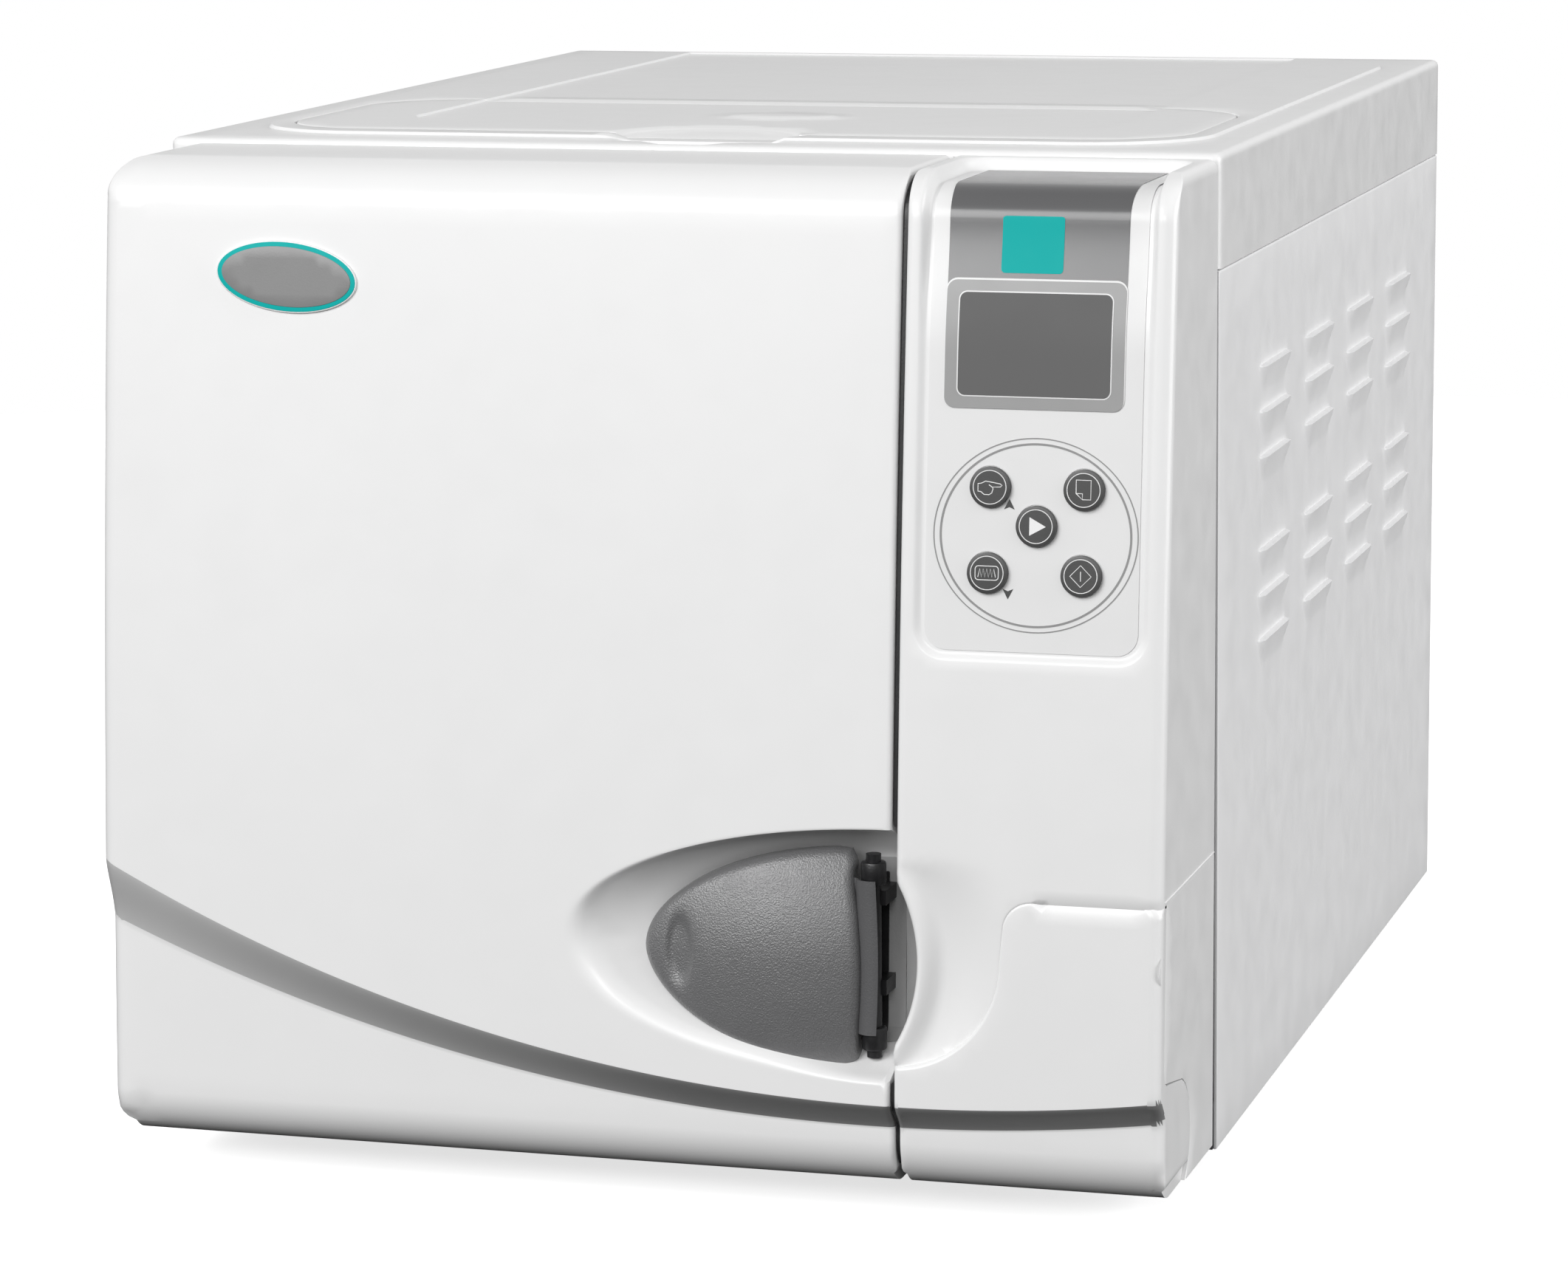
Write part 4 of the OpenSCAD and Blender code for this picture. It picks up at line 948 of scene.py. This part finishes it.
def key_frame(node):
    """Centre of the key's face, its sideways, upward and outward directions."""
    x, z = key_centre(node)
    tilt = math.radians(5)
    out = np.array([0, -math.cos(tilt), math.sin(tilt)])
    up = np.array([0, math.sin(tilt), math.cos(tilt)])
    face = np.array([x, face_y(z), z]) + out * KEY_PROUD
    return face, np.array([1, 0, 0]), up, out


def circle(r, count=36, cx=0, cy=0):
    return ellipse(cx, cy, r, r, count)


ICONS = {
    "key_step": [([(-4.6, -1.6), (-4.6, 1.3), (-3.2, 1.5), (-1.6, 2.3), (0, 2.1), (4.2, 1.4), (4.9, 0.9), (4.3, 0.2),
                   (1.0, 0.1), (1.4, -0.6), (1.1, -1.5), (0.9, -2.2), (-0.2, -2.9), (-2.2, -2.8), (-3.4, -1.8)], True),
                 ([(-0.3, 1.0), (1.0, 0.1)], False)],
    "key_menu": [([(-2.9, -1.3), (-2.9, 3.9), (2.9, 3.9), (2.9, -3.6), (-0.4, -3.6)], False),
                 ([(-2.9, -1.3), (-0.4, -3.6), (-0.4, -1.3), (-2.9, -1.3)], False)],
    "key_start": [],
    "key_dry": [(np.column_stack([round_box(-4.6, 4.6, -2.7, 2.7, 1.2, 4)]), True),
                ([(-3.5 + 0.7 * k, 1.6 if k % 2 else -1.6) for k in range(11)], False)],
    "key_ok": [([(0, 4.2), (-4.2, 0), (0, -4.2), (4.2, 0)], True), ([(0, 1.9), (0, -1.9)], False)],
}


def build_keys():
    cap = [(0.01, -3.2), (7.6, -3.2), (KEY_R, -3.0), (KEY_R, -0.35), (7.9, -0.12), (7.65, -0.02), (6, 0), (0.02, 0)]
    for node in KEYS:
        face, side, up, out = key_frame(node)

        def lay(p, lift=0.0):
            return face + p[:, :1] * side + p[:, 1:2] * up + out * lift

        obj = lathe(node + "_cap", cap, face, out, KEY, node, 64)
        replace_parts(obj, node)
        paths = [(circle(6.5, 60), True)] + ICONS[node]
        strokes(node + "_icon", paths, lambda p, f=lay: f(p, -0.05), 0.2, INK, node)
        if node == "key_start":
            head = resample(np.array([[-2.5, -3.6], [4.0, 0], [-2.5, 3.6]]), 1.5)
            skin("key_start_arrow", head, lambda p, f=lay: f(p, 0.12), INK, node, step=1.5, wall=back_by(0.15))


build_keys()

# ---------------------------------------------------------------- handle
LEVER_Z, LEVER_RX, LEVER_TOP, LEVER_FOOT = 110, 84.6, 42.6, 45
LEVER_EDGE_X = 96.5
LEVER_EDGE = [(95, 65.2), (98.6, 68), (99.2, 73), (99.7, 81), (100.5, 93), (100.8, 108), (99.7, 125), (97.4, 140),
              (97.8, 147), (95.5, 152)]
LEVER_BACK = Y_FRONT + 19
LEVER_EDGE_R = 3.4
LEVER_BOW_X, LEVER_BOW_R = 60, 150
DIMPLE_X, DIMPLE_RX, DIMPLE_RZ, DIMPLE_DEPTH = 28, 6.5, 16, 1.9
HANDLE_X, HANDLE_Y = 105, Y_HOUSE - 95
HUB_R, KNUCKLE_R = 6, 5


def curve_through(points, count=6):
    """A smooth line through points (Catmull-Rom)."""
    p = np.array(points, float)
    p = np.vstack([2 * p[0] - p[1], p, 2 * p[-1] - p[-2]])
    out = []
    for a, b, c, d in zip(p, p[1:], p[2:], p[3:]):
        for t in np.arange(count) / count:
            out.append(0.5 * (2 * b + (c - a) * t + (2 * a - 5 * b + 4 * c - d) * t * t
                              + (3 * b - 3 * c + d - a) * t ** 3))
    return np.array(out + [p[-2]])


def build_handle():
    a = np.radians(np.linspace(95, 266, 80))
    upper = a < math.pi
    power = np.where(upper, 2 / 1.9, 2 / 1.8)
    tall = np.where(upper, LEVER_TOP, -LEVER_FOOT) * np.abs(np.sin(a)) ** power
    left = LEVER_EDGE_X - LEVER_RX * np.abs(np.cos(a)) ** power
    outline = np.vstack([curve_through(LEVER_EDGE), np.column_stack([left, LEVER_Z + tall])])

    def place(p):
        x, z = p.T
        d = distance(p, resample(outline, 2))
        up = (z - LEVER_Z + 2) / 44
        bow = LEVER_BOW_R - np.sqrt(LEVER_BOW_R ** 2 - (x - LEVER_BOW_X) ** 2)
        y = Y_FRONT + 1 + bow + np.where(up > 0, 11, 5) * up * up + rounded_edge(d, LEVER_EDGE_R)
        u = np.hypot((x - DIMPLE_X) / DIMPLE_RX, (z - LEVER_Z) / DIMPLE_RZ)
        return np.column_stack([x, y + DIMPLE_DEPTH * (1 - smooth((u - 0.55) / 0.5)), z])

    skin("handle_leaf", outline, place, HANDLE, "handle", step=3.5, edge_step=2.5,
         insets=(0.12, 0.5, 1.1, 1.8, 2.6, LEVER_EDGE_R), wall=back_to(LEVER_BACK), cap=True,
         rings=[ellipse(DIMPLE_X, LEVER_Z, DIMPLE_RX * u, DIMPLE_RZ * u, 40)
                for u in (0.3, 0.55, 0.68, 0.8, 0.92, 1.05)])
    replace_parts(bpy.data.objects["handle_leaf"], "handle_lever")
    for name, low, high in (("handle_knuckle_top", 138.6, 148), ("handle_knuckle_foot", 72, 81.4)):
        ends = [(0.01, low), (KNUCKLE_R - 1, low), (KNUCKLE_R - 0.3, low + 0.3), (KNUCKLE_R, low + 1),
                (KNUCKLE_R, high - 1), (KNUCKLE_R - 0.3, high - 0.3), (KNUCKLE_R - 1, high), (0.01, high)]
        lathe(name, ends, (HANDLE_X, HANDLE_Y, 0), (0, 0, 1), BLACK, "handle", 40)
    # Bent web that joins the leaf to its knuckles
    turn = np.radians(np.linspace(192, 290, 16))
    zs = np.linspace(79, 141, 22)
    root = [(-13.5, 1.5), (-11, 1.0), (-8.5, -0.3)]
    verts, faces = [], []
    for r in (HUB_R + 0.9, HUB_R + 0.05):
        for z in zs:
            swell = 1.2 * math.sin(math.pi * (z - 79) / 62)
            sink = HUB_R + 0.9 - r
            verts += [(HANDLE_X + x, HANDLE_Y + y + sink, z) for x, y in root]
            verts += [(HANDLE_X + r * math.cos(a) + swell * (a - turn[0]) / 2.2, HANDLE_Y + r * math.sin(a), z)
                      for a in turn]
    n, m = len(turn) + len(root), len(zs)
    for layer in (0, 1):
        for i in range(m - 1):
            for k in range(n - 1):
                a = layer * n * m + i * n + k
                face = (a, a + 1, a + n + 1, a + n)
                faces.append(face if layer == 0 else face[::-1])
    rim = [*range(n), *(i * n + n - 1 for i in range(1, m)), *((m - 1) * n + k for k in range(n - 2, -1, -1)),
           *(i * n for i in range(m - 2, 0, -1))]
    faces += [(b, a, a + n * m, b + n * m) for a, b in zip(rim, rim[1:] + rim[:1])]
    make_object("handle_web", verts, faces, WEB, "handle")


WEB = finish_material("web_dark_grey", (0.10, 0.10, 0.103), 0.45, 0.05, 1500, 0.3)
build_handle()


def build_painted_well_shade():
    """Painted shade in the hollow behind the handle: a grey sheet over the white hollow, and a black sheet for the
    shaded slot that the latch passes through.
    """
    shade_patch = np.vstack([[[114.3, 75]], [[114.3, 147]],
                      curve_through([(108, 148), (99, 146), (94, 134), (92, 110), (94, 90), (99, 78), (108, 74)])])
    slot = round_box(102.4, 107.2, 77, 142, 0.5, 3)

    def lifted(lift):
        return lambda p: on_front(p, scoop_depth(*p.T) + step_depth(*p.T) - lift)

    skin("handle_well", shade_patch, lifted(0.8), WELL_SHADE, "door", step=4, wall=back_by(0.3))
    # Painted shade: a black sheet on the hollow's surface stands for the shaded opening of the slot.
    skin("latch_slot", slot, lifted(1.3), BLACK, "door", step=4, wall=back_by(0.3))


build_painted_well_shade()

# The lock bolt passes through the sides of the fascia and the door
bolt_lo, bolt_hi = span("lock_bolt")
BOLT_Y, BOLT_Z = (bolt_lo[1] + bolt_hi[1]) / 2, (bolt_lo[2] + bolt_hi[2]) / 2
BOLT_HOLE_R = 4.2
drill("fascia_skin", FASCIA_LEFT - 0.6, FASCIA_LEFT + 5, BOLT_Y, BOLT_Z, BOLT_HOLE_R)
drill("door_skin", DOOR_RIGHT - 5, DOOR_RIGHT + 0.6, BOLT_Y, BOLT_Z, BOLT_HOLE_R)
# The latch arm swings out through the side of the door
LATCH_HOLE_Y, LATCH_HOLE_R = Y_HOUSE - 70.6, 8.5
drill("door_skin", DOOR_RIGHT - 5, DOOR_RIGHT + 0.6, LATCH_HOLE_Y, LEVER_Z, LATCH_HOLE_R)


def build_hook():
    """Slim latch hook on its hub, nose just short of the strike plate."""
    lo, hi = span("latch_hook")
    x, y, z = HANDLE_X - 1, (lo[1] + hi[1]) / 2, (lo[2] + hi[2]) / 2
    hub = [(0.01, -9), (4.6, -9), (5.4, -8.2), (5.4, 8.2), (4.6, 9), (0.01, 9)]
    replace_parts(lathe("latch_hub", hub, (x, y, z), (0, 0, 1), BLACK, "latch", 32), "latch_hook")
    arm = np.array([(x, y - 2.5), (hi[0] - 3, y - 2.5), (hi[0], y - 0.5), (hi[0], y + 3.5), (hi[0] - 4, y + 3.5),
                    (hi[0] - 4, y + 1.5), (x, y + 2.5)])
    skin("latch_arm", arm, level_at(z + 4.0), BLACK, "latch",
         step=3, edge_step=2, wall=lambda v: v - (0, 0, 8), cap=True)


build_hook()


# ---------------------------------------------------------------- badge
BADGE_AT, BADGE_TILT = (-138, 371.5), math.radians(-5)


def build_badge():
    def oval(rx, rz):
        p = ellipse(0, 0, rx, rz, 90)
        cos, sin = math.cos(BADGE_TILT), math.sin(BADGE_TILT)
        return p @ np.array([[cos, sin], [-sin, cos]]) + BADGE_AT

    for name, rx, rz, lift, edge, finish in (("badge_rim", 30, 14.2, 1.1, 0.5, LIGHT_LINE),
                                             ("badge_ring", 29.4, 13.6, 1.35, 0.25, TEAL),
                                             ("badge_face", 27.5, 11.8, 1.6, 0.2, BADGE)):
        outline = oval(rx, rz)

        def place(p, outline=outline, lift=lift, edge=edge):
            return on_front(p, rounded_edge(distance(p, outline), edge) - lift)

        skin(name, outline, place, finish, "door", step=4, edge_step=2, insets=(edge / 2, edge),
             wall=back_by(lift + 0.4), cap=True)
    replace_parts(bpy.data.objects["badge_rim"], "door_badge")


build_badge()

# ---------------------------------------------------------------- top cover and tank lid
CROWN_LOOP = round_box(-205, 205, Y_HOUSE + 28, Y_BACK - 22, 50, 14)
INNER_LOOP = np.vstack([[[155, Y_BACK - 24]], [[-154, Y_BACK - 24]],
                        arc(-134, Y_HOUSE + 115, 20, 180, 270, 9), [[-48, Y_HOUSE + 95], [-34, Y_HOUSE + 101]],
                        [[30, Y_HOUSE + 101], [44, Y_HOUSE + 95]], arc(135, Y_HOUSE + 115, 20, 270, 360, 9)])
LID_X, LID_FRONT, LID_REAR, LID_R = 196, lid_lo[1], lid_hi[1], 42
LOZENGE = (2, Y_HOUSE + 144, 25, 15)
GRIP = (-2, LID_FRONT, 40, 31)
CROWN_H, INNER_H = 1.2, 0.9
CAP_Y = Y_HOUSE + 362


def signed(p, loop):
    """Distance inside a loop, negative outside."""
    return distance(p, loop) * np.where(inside(p, loop), 1, -1)


def oval_of(shape, u, p):
    return np.hypot((p[:, 0] - shape[0]) / shape[2], (p[:, 1] - shape[1]) / shape[3]) / u


def top_depth(p):
    x, y = p.T
    depth = CROWN_H * (1 - smooth((signed(p, CROWN_LOOP) + 0.5) / 1.0))
    depth += INNER_H * smooth((signed(p, INNER_LOOP) + 0.4) / 0.8)
    ridge = smooth((y - LID_REAR - 1.5) / 1.5) * (1 - smooth((y - LID_REAR - 19) / 1.5))
    depth -= 0.6 * ridge * smooth((150 - np.abs(x)) / 2)
    depth -= 0.6 * (1 - smooth((oval_of(LOZENGE, 1, p) - 0.9) / 0.1))
    grip = (1 - smooth((oval_of(GRIP, 1, p) - 0.93) / 0.07)) * (0.4 + 0.6 * smooth((LID_FRONT + 30 - y) / 30))
    return depth + 2.2 * grip


def build_top():
    edge = round_box(-HALF_W, HALF_W, Y_HOUSE - 0.4, Y_BACK, 4, 6)
    hole = round_box(-LID_X - 0.9, LID_X + 0.9, LID_FRONT - 0.9, LID_REAR + 0.9, LID_R + 0.9, 16)
    details = insets_of(CROWN_LOOP, (-0.5, -0.2, 0.15, 0.5)) + insets_of(INNER_LOOP, (-0.4, 0, 0.4))
    details += [round_box(-150, 150, LID_REAR + a, LID_REAR + b, 1.5, 3) for a, b in ((1.6, 20.4), (3, 19))]

    def place(p):
        depth = top_depth(p) + rounded_edge(distance(p, edge), 3)
        depth = depth + rounded_edge(distance(p, hole), 0.7)
        return np.column_stack([p, Z_TOP - depth])

    def drop(v):
        out = v.copy()
        within = inside(v[:, :2], inset(edge, 6))
        out[:, 2] = np.where(within, Z_TOP - 7, Z_SEAM)
        return out

    skin("cover_skin", edge, place, WHITE, "root", holes=(hole,), step=12, edge_step=6,
         rings=insets_of(edge, (0.15, 0.6, 1.3, 2.1, 3)) + insets_of(hole, (-0.15, -0.4, -0.7)) + details,
         wall=drop, thick=2.2, sharp=40)
    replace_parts(bpy.data.objects["cover_skin"], "top_cover")
    seat = inset(hole, -1.5)
    skin("lid_seat", seat, level_at(Z_TOP - 7.2), WHITE, "root", holes=(inset(hole, 9),), step=12,
         edge_step=6, thick=2)
    for name, x in (("cap_left", -177), ("cap_right", 177)):
        dome = [(0.01, -2), (6.6, -2), (6.6, 0.15), (6.2, 0.5), (5.2, 0.62), (2, 0.7), (0.01, 0.7)]
        lathe(name, dome, (x, CAP_Y, Z_TOP - CROWN_H + 0.45), (0, 0, 1), WHITE, "root", 40)

    lid = round_box(-LID_X, LID_X, LID_FRONT, LID_REAR, LID_R, 16)

    def lid_place(p):
        return np.column_stack([p, Z_TOP - top_depth(p) - rounded_edge(distance(p, lid), 0.8)])

    def lid_side(v):
        out = v.copy()
        out[:, 2] = Z_TOP - np.where(v[:, 1] > LID_REAR - 8, 1.6, 3)
        return out

    rings = insets_of(lid, (0.15, 0.45, 0.8))
    rings += [ellipse(LOZENGE[0], LOZENGE[1], LOZENGE[2] * u, LOZENGE[3] * u, 60) for u in (0.89, 0.95, 1.01)]
    lines = [arc(GRIP[0], GRIP[1], GRIP[2] * u, 1, 179, 40, GRIP[3] * u) for u in (0.92, 0.96, 1.0)]
    lines += [np.vstack([d, d[:1]]) for d in insets_of(INNER_LOOP, (-0.4, 0, 0.4))]
    skin("lid_skin", lid, lid_place, WHITE, "tank_lid", step=9, edge_step=5, rings=rings, lines=lines,
         wall=lid_side, thick=1.8, sharp=40)
    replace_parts(bpy.data.objects["lid_skin"], "tank_lid")
    pin = [(0.01, -7), (1.2, -7), (1.2, 7), (0.01, 7)]
    for name, x in (("lid_pin_left", -150), ("lid_pin_right", 150)):
        lathe(name, pin, (x, LID_REAR - 3, Z_TOP - 2.6), (1, 0, 0), WHITE, "tank_lid", 20)


build_top()

# ---------------------------------------------------------------- side panels with pressed louvres
LOUVRE_Y = [Y_HOUSE + d for d in (83, 185, 287, 389)]
LOUVRE_Z = [324, 305, 286, 247, 228, 209]
LOUVRE_L, LOUVRE_H, LOUVRE_OUT = 62, 12, 2.6


def louvre_bulge(y, z):
    out = np.zeros_like(y)
    for y0 in LOUVRE_Y:
        for top in LOUVRE_Z:
            s, t = y - y0, top - z
            taper = 9 * np.clip(t / LOUVRE_H, 0, 1) ** 1.6
            ends = smooth((s - taper) / 6) * smooth((LOUVRE_L - s - taper) / 3)
            fall = np.clip(1 - t / LOUVRE_H, 0, 1) ** 1.15
            out = np.maximum(out, LOUVRE_OUT * ends * smooth((t + 0.3) / 0.6) * fall)
    return out


def build_panel(name, side, front_top, front_foot):
    """side is 1 for the right panel and -1 for the left one; the flat outline runs (side * y, z)."""
    z0, z1 = panel_lo[2], panel_hi[2]
    rear = panel_hi[1]
    corners = [(front_foot, z0), (rear, z0), (rear, z1), (front_top, z1)]
    outline = np.array([(side * y, z) for y, z in corners][::side], float)
    lines = []
    for y0 in LOUVRE_Y:
        for top in LOUVRE_Z:
            for t in (-0.35, 0, 0.35, 0.7, 1.6, 3, 4.5, 6, 8, 10, 12.2):
                ys = np.array([-1, 0, 1, 2, 3.5, 5, 7, 9, 12, 16, 24, 32, 40, 48, 52, 56, 58, 59.5, 61, 62, 63])
                lines.append(np.column_stack([side * (y0 + ys), np.full(len(ys), top - t)]))

    def place(p):
        y, z = side * p[:, 0], p[:, 1]
        edge = rounded_edge(distance(p, outline), 1.0)
        return np.column_stack([side * (HALF_W + louvre_bulge(y, z) - edge), y, z])

    skin(name + "_skin", outline, place, PANEL, "root", step=16, edge_step=8, lines=lines,
         insets=(0.2, 0.6, 1.0), wall=moved_to(0, side * (HALF_W - 1.5)), sharp=30)
    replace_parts(bpy.data.objects[name + "_skin"], name)


build_panel("right_side_panel", 1, Y_HOUSE - 1, panel_lo[1])
build_panel("left_side_panel", -1, panel_lo[1], panel_lo[1])

# ---------------------------------------------------------------- finishes of the CAD nodes that stay
FINISH = {"cover_white": WHITE, "panel_white": PANEL, "frame_dark": DARK, "film_grey": FILM, "display_dark": WINDOW,
          "board_green": BOARD, "steel": STEEL, "zinc_steel": ZINC, "jacket": JACKET, "heater": HEATER,
          "pump_black": BLACK, "pump_blue": PUMP_BLUE, "brass": BRASS, "copper": COPPER, "fins": FINS,
          "tank_white": TANK, "black_plastic": BLACK, "rocker_red": RED, "rubber": RUBBER, "silicone": SILICONE,
          "handle_grey": HANDLE, "key_grey": KEY, "badge_grey": BADGE, "filter_white": FILTER}
for node in nodes.values():
    for slot in node.material_slots:
        slot.material = FINISH[slot.material.name]
